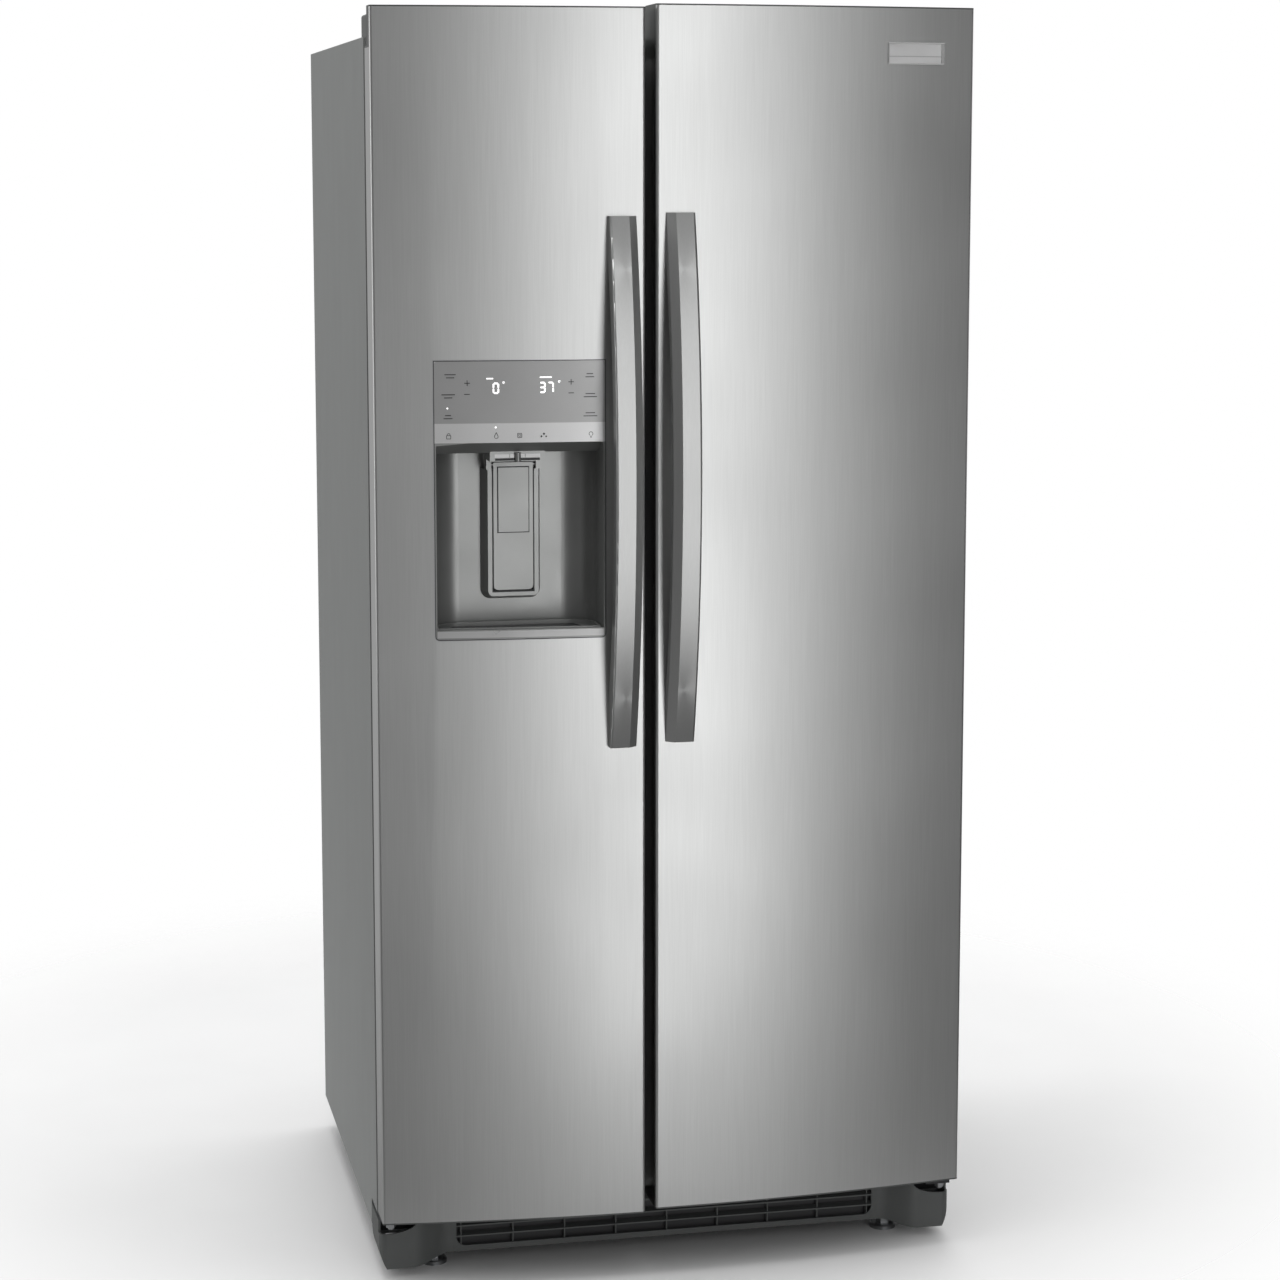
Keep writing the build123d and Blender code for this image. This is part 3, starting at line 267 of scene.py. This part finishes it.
def glow(name, colour, strength):
    """Backlit mark: light through a diffusing film, a little uneven."""
    lamp = Surface(name, Roughness=0.5, Emission_Strength=strength)
    uneven = lamp.remap(lamp.noise((260.0, 260.0, 260.0)), (0.3, 0.7), (0.0, 1.0))
    tone = lamp.blend(uneven, shade(colour, 0.93), colour)
    lamp.paint(tone)
    lamp.link(tone, lamp.shader.inputs["Emission Color"])
    return lamp.material


STEEL = (0.62, 0.625, 0.62)
PANEL_SPLIT = 1212 * MM
PLAIN_HEIGHT = 600 * MM
MATERIALS = {
    "stainless": brushed_steel("brushed_stainless", STEEL, 0.34, painted_gap_shade=True),
    "steel_trim": brushed_steel("satin_steel", shade(STEEL, 0.82), 0.36, hair=900.0),
    "side_paint": side_paint(),
    "dark_trim": moulded("dark_grey_trim", (0.105, 0.11, 0.108), 0.42, metallic=0.2),
    "grey_trim": moulded("silver_grey_plastic", (0.36, 0.365, 0.36), 0.36, metallic=0.65),
    "panel": control_face(PANEL_SPLIT),
    "white_plastic": moulded("white_plastic", (0.82, 0.83, 0.83), 0.34, grain=900.0),
    "clear_plastic": clear_plastic("clear_plastic", (0.90, 0.94, 0.95), 0.06),
    "shelf": clear_plastic("shelf_glass", (0.78, 0.90, 0.86), 0.03),
    "foam": insulation(),
    "seal": moulded("magnetic_seal", (0.20, 0.20, 0.20), 0.6, grain=500.0, depth=0.05),
    "zinc": zinc(),
    "black_steel": moulded("black_enamel", (0.025, 0.025, 0.027), 0.35, grain=600.0, depth=0.03),
    "coil_metal": brushed_steel("coil_aluminium", (0.70, 0.71, 0.72), 0.4, hair=400.0),
    "nylon": moulded("black_nylon", (0.035, 0.035, 0.037), 0.5),
}
PRINT = moulded("print_ink", (0.045, 0.045, 0.047), 0.5, grain=3000.0, depth=0.004)
DIGIT_LIGHT = glow("digit_light", (1.0, 1.0, 1.0), 1.6)
LAMP_LIGHT = glow("lamp_light", (1.0, 0.97, 0.92), 2.5)
PLATE_FACE = moulded("plate_silver", (0.86, 0.86, 0.86), 0.42, metallic=0.15)
SILVER = moulded("bright_silver_film", (0.62, 0.62, 0.62), 0.3, metallic=0.3)
SCREW_STEEL = brushed_steel("screw_steel", (0.55, 0.55, 0.56), 0.3, hair=1800.0)

SLOT_OF = {part["node"]: part["material_slot"] for part in frame["record"]["subparts"]}
for node_name, node in NODES.items():
    node.data.materials.clear()
    node.data.materials.append(MATERIALS[SLOT_OF[node_name]])


# Mesh helpers -------------------------------------------------------------------------------

def make_piece(name, mesh, material, body):
    """A finished bmesh in frame coordinates becomes a named piece that rides on a body."""
    bmesh.ops.recalc_face_normals(mesh, faces=mesh.faces)
    data = bpy.data.meshes.new(name)
    mesh.to_mesh(data)
    mesh.free()
    data.materials.append(material)
    piece = bpy.data.objects.new(name, data)
    bpy.context.scene.collection.objects.link(piece)
    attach(piece, body)
    return piece


def front_of(node_name, x, z):
    """The y of a node's foremost surface at (x, z)."""
    low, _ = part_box(node_name)
    hit, point, _, _ = NODES[node_name].ray_cast(Vector((x, low.y - 1, z)), Vector((0, 1, 0)))
    return point.y if hit else low.y


def add_prism(mesh, points, node_name, proud=0.25 * MM, sunk=0.3 * MM):
    """A flat mark whose (x, z) outline lies on the node's front face and stands proud of it."""
    rings = []
    for offset in (-proud, sunk):
        rings.append([mesh.verts.new((x, front_of(node_name, x, z) + offset, z)) for x, z in points])
    count = len(points)
    mesh.faces.new(rings[0])
    mesh.faces.new(rings[1])
    for index in range(count):
        after = (index + 1) % count
        mesh.faces.new((rings[0][index], rings[0][after], rings[1][after], rings[1][index]))


def door_front(x):
    """The y of the freezer door's curved front at x."""
    return front_of("freezer_door_skin", x, PLAIN_HEIGHT)


def between(low, high, parts):
    """Evenly spaced values from low to high, both included."""
    return [low + (high - low) * part / parts for part in range(parts + 1)]


def box_outline(left, right, bottom, top, parts=12, corner=0.0):
    """Outline of a rectangle: long sides split to follow a curved front, lower corners rounded."""
    steps = 4 if corner else 0
    lower = [(x, bottom) for x in between(left + corner, right - corner, parts)]
    for step in range(1, steps + 1):
        angle = pi / 2 * step / steps
        lower.append((right - corner + corner * sin(angle), bottom + corner - corner * cos(angle)))
    upper = [(x, top) for x in between(right, left, parts)]
    for step in range(steps):
        angle = pi / 2 * step / steps
        upper.append((left + corner - corner * cos(angle), bottom + corner - corner * sin(angle)))
    return lower + upper


def add_band(mesh, left, right, bottom, top, depth_at, proud, sunk, parts=10):
    """A flat strip that follows a curved front."""
    columns = []
    for x in between(left, right, parts):
        front, back = depth_at(x) - proud, depth_at(x) + sunk
        corners = ((front, bottom), (front, top), (back, top), (back, bottom))
        columns.append([mesh.verts.new((x, y, z)) for y, z in corners])
    mesh.faces.new(columns[0])
    mesh.faces.new(columns[-1])
    for first, second in zip(columns, columns[1:]):
        for here in range(4):
            after = (here + 1) % 4
            mesh.faces.new((first[here], first[after], second[after], second[here]))


def add_ring(mesh, outer, inner, depth_at, proud, sunk):
    """A flat frame between two (x, z) outlines with as many points, laid along the depth_at(x) surface."""
    rows = []
    for outline in (outer, inner):
        for offset in (-proud, sunk):
            rows.append([mesh.verts.new((x, depth_at(x) + offset, z)) for x, z in outline])
    outer_front, outer_back, inner_front, inner_back = rows
    count = len(outer)
    for here in range(count):
        after = (here + 1) % count
        for first, second in ((outer_front, inner_front), (inner_front, inner_back),
                              (inner_back, outer_back), (outer_back, outer_front)):
            mesh.faces.new((first[here], first[after], second[after], second[here]))


def add_slab(mesh, outline, low, high):
    """A level plate between two heights; the outline is given as (x, y) points."""
    rings = [[mesh.verts.new((x, y, z)) for x, y in outline] for z in (low, high)]
    count = len(outline)
    for ring in rings:
        mesh.faces.new(ring)
    for here in range(count):
        after = (here + 1) % count
        mesh.faces.new((rings[0][here], rings[0][after], rings[1][after], rings[1][here]))


def oblong(x, z, width, height, corner=0.0, steps=3):
    """Outline of a rectangle with rounded corners."""
    if not corner:
        return [(x - width / 2, z - height / 2), (x + width / 2, z - height / 2),
                (x + width / 2, z + height / 2), (x - width / 2, z + height / 2)]
    points = []
    for turn, (sx, sz) in enumerate(((1, 1), (-1, 1), (-1, -1), (1, -1))):
        centre = (x + sx * (width / 2 - corner), z + sz * (height / 2 - corner))
        for step in range(steps + 1):
            angle = pi / 2 * (turn + step / steps)
            points.append((centre[0] + corner * cos(angle), centre[1] + corner * sin(angle)))
    return points


def stroke(start, end, width):
    """Outline of a straight stroke from start to end."""
    along = (Vector(end) - Vector(start)).normalized()
    side = Vector((-along.y, along.x)) * width / 2
    corners = (Vector(start) - side, Vector(end) - side, Vector(end) + side, Vector(start) + side)
    return [tuple(corner) for corner in corners]


def path_strokes(points, width, closed=False):
    """Strokes that follow a list of points."""
    last = points[1:] + points[:1] if closed else points[1:]
    return [stroke(a, b, width) for a, b in zip(points, last)]


def arc_points(x, z, radius, start, end, steps=8):
    """Points along an arc, with its angles in degrees."""
    angles = [radians(start + (end - start) * step / steps) for step in range(steps + 1)]
    return [(x + radius * cos(a), z + radius * sin(a)) for a in angles]


def add_box(mesh, x, y, z, bevel=0.0):
    """A block between the given (low, high) pairs, its edges softened by the bevel."""
    size = Vector((x[1] - x[0], y[1] - y[0], z[1] - z[0]))
    place = Matrix.Translation((sum(x) / 2, sum(y) / 2, sum(z) / 2)) @ Matrix.Diagonal((*size, 1.0))
    made = bmesh.ops.create_cube(mesh, size=1.0, matrix=place)
    if bevel:
        edges = dict.fromkeys(edge for vert in made["verts"] for edge in vert.link_edges)
        bmesh.ops.bevel(mesh, geom=list(edges), offset=bevel, segments=3, profile=0.5, affect="EDGES")


def add_cylinder(mesh, centre, axis, radius, depth, segments=20):
    """A slightly tapered disc or prism about the given axis."""
    turn = Vector((0, 0, 1)).rotation_difference(Vector(axis)).to_matrix().to_4x4()
    bmesh.ops.create_cone(mesh, cap_ends=True, segments=segments, radius1=radius, radius2=radius * 0.92,
                          depth=depth, matrix=Matrix.Translation(centre) @ turn)


# Printed and lit marks on the control panel ---------------------------------------------------

SEGMENTS = {
    "a": ((0, 1), (1, 1)), "b": ((1, 1), (1, 0.5)), "c": ((1, 0.5), (1, 0)), "d": ((0, 0), (1, 0)),
    "e": ((0, 0.5), (0, 0)), "f": ((0, 1), (0, 0.5)), "g": ((0, 0.5), (1, 0.5)),
}
DIGITS = {"0": "abcdef", "3": "abcdg", "7": "abc"}


def seven_segment(digit, x, z, width, height, weight):
    """Strokes of one lit digit, centred on (x, z)."""
    strokes = []
    for name in DIGITS[digit]:
        ends = []
        for u, v in SEGMENTS[name]:
            ends.append(Vector((x + (u - 0.5) * (width - weight), z + (v - 0.5) * (height - weight))))
        along = (ends[1] - ends[0]).normalized() * weight * 0.34
        strokes.append(stroke(ends[0] + along, ends[1] - along, weight))
    return strokes


def panel_marks():
    """Lit digits and indicator dots, dark signs, icons and plain label bars; no words."""
    lit, dark = bmesh.new(), bmesh.new()
    digit = (8.5 * MM, 15 * MM, 1.9 * MM)
    for text, x, z in (("0", -255.4, 1259.3), ("3", -192.6, 1259.8), ("7", -181.4, 1259.8)):
        for outline in seven_segment(text, x * MM, z * MM, *digit):
            add_prism(lit, outline, "control_panel")
    for x, z, width in ((-263.6, 1272.4, 9), (-188, 1273.6, 16)):
        add_prism(lit, oblong(x * MM, z * MM, width * MM, 1.5 * MM), "control_panel")
    for x, z in ((-244.8, 1266.8), (-169.6, 1267.6)):
        for outline in path_strokes(arc_points(x * MM, z * MM, 1.3 * MM, 0, 300), 0.6 * MM):
            add_prism(lit, outline, "control_panel")
    for x, z in ((-320.7, 1232.7), (-256, 1206.4)):
        add_prism(lit, oblong(x * MM, z * MM, 2 * MM, 2 * MM, 0.9 * MM), "control_panel")

    signs = ((-294, 1266.5, True), (-294.3, 1251.5, False), (-153.6, 1267, True), (-153.5, 1252, False))
    for x, z, plus in signs:
        add_prism(dark, oblong(x * MM, z * MM, 7.5 * MM, 1.0 * MM), "control_panel")
        if plus:
            for side in (-1, 1):
                add_prism(dark, oblong(x * MM, (z + side * 2.2) * MM, 1.0 * MM, 3.2 * MM), "control_panel")
    labels = ((-316.7, 1276, 15, 11), (-319.4, 1249, 18, 11), (-319.9, 1221, 8, 12),
              (-128, 1275.6, 9, 12), (-127.4, 1248.6, 13, 18), (-127.4, 1222.6, 13, 19))
    for x, z, upper, lower in labels:
        for width, rise in ((upper, 2.1), (lower, -2.1)):
            add_prism(dark, oblong(x * MM, (z + rise) * MM, width * MM, 1.1 * MM), "control_panel")
    for outline in strip_icons():
        add_prism(dark, outline, "control_panel")
    make_piece("panel_lights", lit, DIGIT_LIGHT, "freezer_door")
    make_piece("panel_print", dark, PRINT, "freezer_door")


def strip_icons():
    """Lock, drop, ice cube, crushed ice and bulb along the button strip."""
    line = 0.7 * MM
    row = 1195.3 * MM
    lock, drop, cube, crushed, bulb = (x * MM for x in (-319.3, -255.3, -223.7, -191.2, -126.6))
    body = [(lock - 2.8 * MM, row - 3.8 * MM), (lock + 2.8 * MM, row - 3.8 * MM),
            (lock + 2.8 * MM, row + 0.7 * MM), (lock - 2.8 * MM, row + 0.7 * MM)]
    outlines = path_strokes(body, line, closed=True)
    outlines += path_strokes(arc_points(lock, row + 1.6 * MM, 1.9 * MM, -25, 205), line)
    tip = (drop, row + 4.2 * MM)
    round_part = arc_points(drop, row - 1.4 * MM, 2.5 * MM, 30, -210, 10)
    outlines += path_strokes([tip] + round_part, line, closed=True)
    outlines += path_strokes(oblong(cube, row, 5.6 * MM, 5.6 * MM), line, closed=True)
    outlines += path_strokes(oblong(cube, row, 2.6 * MM, 2.6 * MM), line * 0.7, closed=True)
    for dx, dz, size in ((-3, -1.6, 2.6), (0.4, 1.8, 2.9), (3.4, -1.8, 2.2)):
        x, z, r = crushed + dx * MM, row + dz * MM, size * MM / 2 * 1.2
        outlines.append([(x - r, z), (x, z - r), (x + r, z), (x, z + r)])
    outlines += path_strokes(arc_points(bulb, row + 1.0 * MM, 2.6 * MM, -60, 240, 12), line)
    for drop_by in (2.4, 3.8):
        outlines.append(oblong(bulb, row - drop_by * MM, 2.4 * MM, line))
    return outlines


# Name plate, dispenser, lamps and fasteners ---------------------------------------------------

PLATE_SPLIT = 0.37
PADDLE_HALF = 27.5 * MM
PAD_HALF = 21 * MM
PAD_HEIGHTS = (1057 * MM, 1146 * MM)
GROOVE = 1.4 * MM
SLOT_TOP = 1143 * MM
TILE_HEIGHT = 1165.4 * MM
TILE_PITCH = 21.5 * MM
HINGE_PIN = (403 * MM, -286 * MM)
SHADE_SHEET_FRONT = -251 * MM
CEILING = 1671.6 * MM
LAMP_MIDDLE = -170 * MM


def name_plate_trim():
    """Raised rim and divider of the blank name plate."""
    low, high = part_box("name_plate")
    x, z = (low.x + high.x) / 2, (low.z + high.z) / 2
    width, height = high.x - low.x, high.z - low.z
    rim = 1.3 * MM
    mesh = bmesh.new()
    for side in (-1, 1):
        level = oblong(x, z + side * (height - rim) / 2, width, rim)
        upright = oblong(x + side * (width - rim) / 2, z, rim, height - 2.1 * rim)
        add_prism(mesh, level, "name_plate", proud=0.5 * MM)
        add_prism(mesh, upright, "name_plate", proud=0.5 * MM)
    divider = oblong(x, low.z + height * PLATE_SPLIT, width - 3 * rim, 0.7 * MM)
    add_prism(mesh, divider, "name_plate", proud=0.4 * MM)
    make_piece("name_plate_rim", mesh, SILVER, "fridge_door")


def name_plate_face():
    """Bright blank face of the name plate, in two fields."""
    low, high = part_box("name_plate")
    inset = 1.7 * MM
    middle = (low.z + high.z) / 2
    divider = low.z + (high.z - low.z) * PLATE_SPLIT
    mesh = bmesh.new()
    for bottom, top in ((low.z + inset, divider - 0.5 * MM), (divider + 0.5 * MM, high.z - inset)):
        add_band(mesh, low.x + inset, high.x - inset, bottom, top,
                 lambda x: front_of("name_plate", x, middle), 0.3 * MM, 0.2 * MM)
    make_piece("name_plate_face", mesh, PLATE_FACE, "fridge_door")


def dispenser_edges():
    """Shadow line and bright rim round the dispenser opening, and the bright front of its lip."""
    low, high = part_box("dispenser_housing")
    grown = []
    for grow in (-0.2 * MM, 0.9 * MM, 2.0 * MM):
        grown.append(box_outline(low.x - grow, high.x + grow, low.z - grow, high.z + grow,
                                 corner=5 * MM + grow))
    shadow, rim, lip = bmesh.new(), bmesh.new(), bmesh.new()
    add_ring(shadow, grown[1], grown[0], door_front, 0.15 * MM, 0.4 * MM)
    add_ring(rim, grown[2], grown[1], door_front, 0.25 * MM, 0.4 * MM)
    lip_middle = low.z + 7 * MM
    add_band(lip, low.x + 2 * MM, high.x - 2 * MM, low.z + 2.4 * MM, low.z + 11.5 * MM,
             lambda x: front_of("dispenser_housing", x, lip_middle), 0.35 * MM, 0.3 * MM, 40)
    make_piece("dispenser_shadow_line", shadow, PRINT, "freezer_door")
    make_piece("dispenser_rim", rim, SCREW_STEEL, "freezer_door")
    make_piece("dispenser_lip_front", lip, SILVER, "freezer_door")


def paddle_edges():
    """Black ring in the gap round the paddle, as painted shadow, and a dark line round its pad, as painted
    shade of the groove there.
    """
    low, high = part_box("dispenser_paddle")
    x = (low.x + high.x) / 2
    face = low.y + 2 * MM
    outer, inner = PADDLE_HALF + 2 * MM, PADDLE_HALF + 0.4 * MM
    seal, groove = bmesh.new(), bmesh.new()
    # Painted shadow: a black ring fills the gap round the paddle.
    add_ring(seal, box_outline(x - outer, x + outer, low.z - 3.4 * MM, SLOT_TOP, 2),
             box_outline(x - inner, x + inner, low.z - 0.9 * MM, SLOT_TOP - 0.4 * MM, 2),
             lambda _: face + 1.2 * MM, 0.0, 2.5 * MM)
    reach = PAD_HALF + GROOVE
    bottom, top = PAD_HEIGHTS
    # Painted shade: the pad's groove is drawn as a dark line.
    add_ring(groove, box_outline(x - reach, x + reach, bottom - GROOVE, top + GROOVE, 2),
             box_outline(x - PAD_HALF, x + PAD_HALF, bottom, top, 2), lambda _: face, 0.2 * MM, 0.4 * MM)
    make_piece("paddle_slot_shadow", seal, PRINT, "freezer_door")
    make_piece("paddle_pad_groove_shade", groove, PRINT, "dispenser_paddle")


def chute_front():
    """Three pale tiles along the front of the chute, with a dark strip of painted shadow beneath them."""
    low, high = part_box("ice_chute")
    x = (low.x + high.x) / 2
    tiles, slot_shadow = bmesh.new(), bmesh.new()
    for step in (-1, 0, 1):
        tile = oblong(x + step * TILE_PITCH, TILE_HEIGHT, 20 * MM, 4.8 * MM, 0.5 * MM)
        add_prism(tiles, tile, "ice_chute")
    # Painted shadow: the dark strip under the tiles stands for the shade beneath the chute's lip.
    add_prism(slot_shadow, oblong(x, TILE_HEIGHT - 4.8 * MM, 62 * MM, 3.2 * MM, 0.8 * MM), "ice_chute")
    make_piece("chute_tiles", tiles, SILVER, "freezer_door")
    make_piece("chute_slot_shadow", slot_shadow, PRINT, "freezer_door")


def tray_insert():
    """Dark plate on the floor of the drip tray."""
    low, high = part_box("drip_tray")
    left, right = low.x + 10 * MM, high.x - 10 * MM
    back = high.y - 8 * MM
    mesh = bmesh.new()
    front = [(x, door_front(x) + 21 * MM) for x in between(left, right, 12)]
    rear = [(right - 18 * MM, back), (left + 18 * MM, back)]
    add_slab(mesh, front + rear, low.z + 3 * MM, low.z + 4.2 * MM)
    make_piece("drip_tray_insert", mesh, MATERIALS["nylon"], "drip_tray")


def hinge_nuts():
    """Bright nuts under the bottom hinge arms."""
    x, y = HINGE_PIN
    mesh = bmesh.new()
    for side in (-1, 1):
        add_cylinder(mesh, Vector((side * x, y, 80 * MM)), (0, 0, -1), 7.5 * MM, 7 * MM, 6)
        add_cylinder(mesh, Vector((side * x, y, 75.5 * MM)), (0, 0, -1), 4.5 * MM, 3 * MM)
    make_piece("bottom_hinge_nuts", mesh, MATERIALS["zinc"], "cabinet")


def intake_shade_sheet():
    """Dark folded sheet behind the louvres, put there as painted shade so the intake reads black."""
    low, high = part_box("toe_grille")
    half, top, bottom = 310 * MM, high.z + 13 * MM, low.z + 10 * MM
    mesh = bmesh.new()
    back = SHADE_SHEET_FRONT + 1 * MM
    add_box(mesh, (-half, half), (SHADE_SHEET_FRONT, back), (bottom, top))
    for z in (bottom, top - 1 * MM):
        add_box(mesh, (-half, half), (SHADE_SHEET_FRONT - 4 * MM, back), (z, z + 1 * MM))
    # The black sheet is painted shade: it makes the space behind the louvres read black.
    make_piece("intake_shade_sheet", mesh, MATERIALS["nylon"], "cabinet")


def interior_lamps():
    """Ribbed lamp lenses under the ceilings of both compartments."""
    for name, x in (("freezer_lamp", -224.5 * MM), ("fresh_food_lamp", 130 * MM)):
        mesh = bmesh.new()
        add_box(mesh, (x - 44 * MM, x + 44 * MM), (LAMP_MIDDLE - 26 * MM, LAMP_MIDDLE + 26 * MM),
                (CEILING - 7.6 * MM, CEILING), 2.5 * MM)
        for rib in between(x - 36 * MM, x + 36 * MM, 8):
            add_box(mesh, (rib - 1 * MM, rib + 1 * MM), (LAMP_MIDDLE - 20 * MM, LAMP_MIDDLE + 20 * MM),
                    (CEILING - 8.8 * MM, CEILING - 6.6 * MM), 0.4 * MM)
        make_piece(name, mesh, LAMP_LIGHT, "cabinet")


def hinge_cover_screws():
    """Screws that hold the top hinge covers; their cross recesses are painted black as painted shade."""
    _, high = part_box("hinge_covers")
    heads, slot_shade = bmesh.new(), bmesh.new()
    for side in (-1, 1):
        place = Vector((side * 372 * MM, -216 * MM, high.z + 0.5 * MM))
        add_cylinder(heads, place, (0, 0, 1), 5 * MM, 2 * MM)
        # Painted shade: the cross recess of each screw head is a black ink cross.
        for length, width in ((3 * MM, 0.4 * MM), (0.4 * MM, 3 * MM)):
            add_box(slot_shade, (place.x - length, place.x + length), (place.y - width, place.y + width),
                    (high.z, high.z + 1.6 * MM))
    make_piece("hinge_cover_screws", heads, SCREW_STEEL, "cabinet")
    make_piece("hinge_cover_screw_slot_shade", slot_shade, PRINT, "cabinet")


for make in (panel_marks, name_plate_trim, name_plate_face, dispenser_edges, paddle_edges, chute_front,
             tray_insert, hinge_nuts, intake_shade_sheet, interior_lamps, hinge_cover_screws):
    make()


# Studio ---------------------------------------------------------------------------------------

def studio_world():
    """Surround lit by direction: darker ahead and to the right, brighter above; the backdrop is white."""
    world = bpy.data.worlds.new("studio")
    bpy.context.scene.world = world
    world.use_nodes = True
    tree = world.node_tree
    nodes, link = tree.nodes, tree.links.new
    direction = nodes.new("ShaderNodeTexCoord").outputs["Generated"]
    split = nodes.new("ShaderNodeSeparateXYZ")
    link(direction, split.inputs["Vector"])

    def ramp(value, source, target):
        """Smooth step from the source range to the target range."""
        node = nodes.new("ShaderNodeMapRange")
        node.interpolation_type = "SMOOTHSTEP"
        for socket, number in zip(("From Min", "From Max", "To Min", "To Max"), (*source, *target)):
            node.inputs[socket].default_value = number
        link(value, node.inputs["Value"])
        return node.outputs["Result"]

    depth = ramp(split.outputs["Y"], (-0.75, 0.3), (0.13, 0.42))
    above = ramp(split.outputs["Z"], (0.25, 1.0), (0.0, 0.7))
    aside = ramp(split.outputs["X"], (0.1, 0.8), (1.0, 0.4))
    around = nodes.new("ShaderNodeMath")
    around.operation = "MULTIPLY"
    link(depth, around.inputs[0])
    link(aside, around.inputs[1])
    total = nodes.new("ShaderNodeMath")
    link(around.outputs["Value"], total.inputs[0])
    link(above, total.inputs[1])
    surround = nodes["Background"]
    link(total.outputs["Value"], surround.inputs["Strength"])
    surround.inputs["Color"].default_value = (1.0, 1.0, 1.0, 1.0)
    backdrop = nodes.new("ShaderNodeBackground")
    backdrop.inputs["Color"].default_value = (1.0, 1.0, 1.0, 1.0)
    choose = nodes.new("ShaderNodeMixShader")
    link(nodes.new("ShaderNodeLightPath").outputs["Is Camera Ray"], choose.inputs["Fac"])
    link(surround.outputs["Background"], choose.inputs[1])
    link(backdrop.outputs["Background"], choose.inputs[2])
    link(choose.outputs["Shader"], nodes["World Output"].inputs["Surface"])


def softbox(name, place, target, size, radiance, spread=180):
    """Rectangular light of the given size and radiance, aimed at a point."""
    data = bpy.data.lights.new(name, "AREA")
    data.shape = "RECTANGLE"
    data.size, data.size_y = size
    data.energy = radiance * pi * size[0] * size[1]
    data.spread = radians(spread)
    lamp = bpy.data.objects.new(name, data)
    lamp.location = place
    lamp.rotation_euler = (Vector(target) - Vector(place)).to_track_quat("-Z", "Y").to_euler()
    bpy.context.scene.collection.objects.link(lamp)


def floor():
    """Pale floor pad whose rim fades out; seen in reflections it is painted darker, a painted shade on the
    lower doors.
    """
    mesh = bmesh.new()
    bmesh.ops.create_grid(mesh, x_segments=1, y_segments=1, size=FLOOR_HALF)
    data = bpy.data.meshes.new("floor")
    mesh.to_mesh(data)
    mesh.free()
    pad = bpy.data.objects.new("floor", data)
    pad.location = FLOOR_CENTRE
    bpy.context.scene.collection.objects.link(pad)
    look = Surface("pale_floor", Roughness=0.6)
    clouds = look.remap(look.noise((2.0, 2.0, 2.0)), (0.3, 0.7), (0.0, 1.0))
    pale = look.blend(clouds, (0.86, 0.86, 0.86), (0.90, 0.90, 0.90))
    # Painted shade: the floor is painted darker only where it is seen in reflections, which darkens the
    # doors' lower parts.
    reflection_shade = look.add("LightPath").outputs["Is Glossy Ray"]
    look.paint(look.blend(reflection_shade, pale, (0.32, 0.32, 0.32)))
    distance = look.add("VectorMath", operation="LENGTH")
    look.link(look.place, distance.inputs[0])
    inside = look.remap(distance.outputs["Value"], (FLOOR_HALF * 0.55, FLOOR_HALF), (1.0, 0.0), smooth=True)
    look.link(inside, look.shader.inputs["Alpha"])
    data.materials.append(look.material)


def camera():
    """Eye at a standing person's height, to the left of the doors, tilted down."""
    data = bpy.data.cameras.new("camera")
    data.lens = 83.45
    data.sensor_width = 36.0
    data.shift_y = -0.07
    eye = bpy.data.objects.new("camera", data)
    eye.location = (-0.916, -4.282, 1.561)
    eye.rotation_euler = (radians(90 - 7.45), 0.0, radians(-12.30))
    bpy.context.scene.collection.objects.link(eye)
    bpy.context.scene.camera = eye


FLOOR_HALF = 1.5
FLOOR_CENTRE = (0.0, 0.55, 0.0)
studio_world()
floor()
softbox("key", (0.84, -4.5, 0.9), (-0.04, -0.35, 0.9), (1.1, 4.0), 2.85)
softbox("overhead", (0.0, 0.2, 3.6), (0.0, 0.0, 0.0), (2.6, 2.6), 3.0)
softbox("left_fill", (-4.0, 0.6, 1.6), (-0.4, 0.0, 0.9), (2.0, 2.6), 1.2)
softbox("right_fill", (4.0, 0.6, 1.6), (0.4, 0.0, 0.9), (2.0, 2.6), 0.5)
softbox("rear", (1.6, 4.2, 2.0), (0.2, 0.4, 0.7), (2.4, 2.4), 0.6)
camera()
bpy.context.scene.view_settings.view_transform = "Standard"
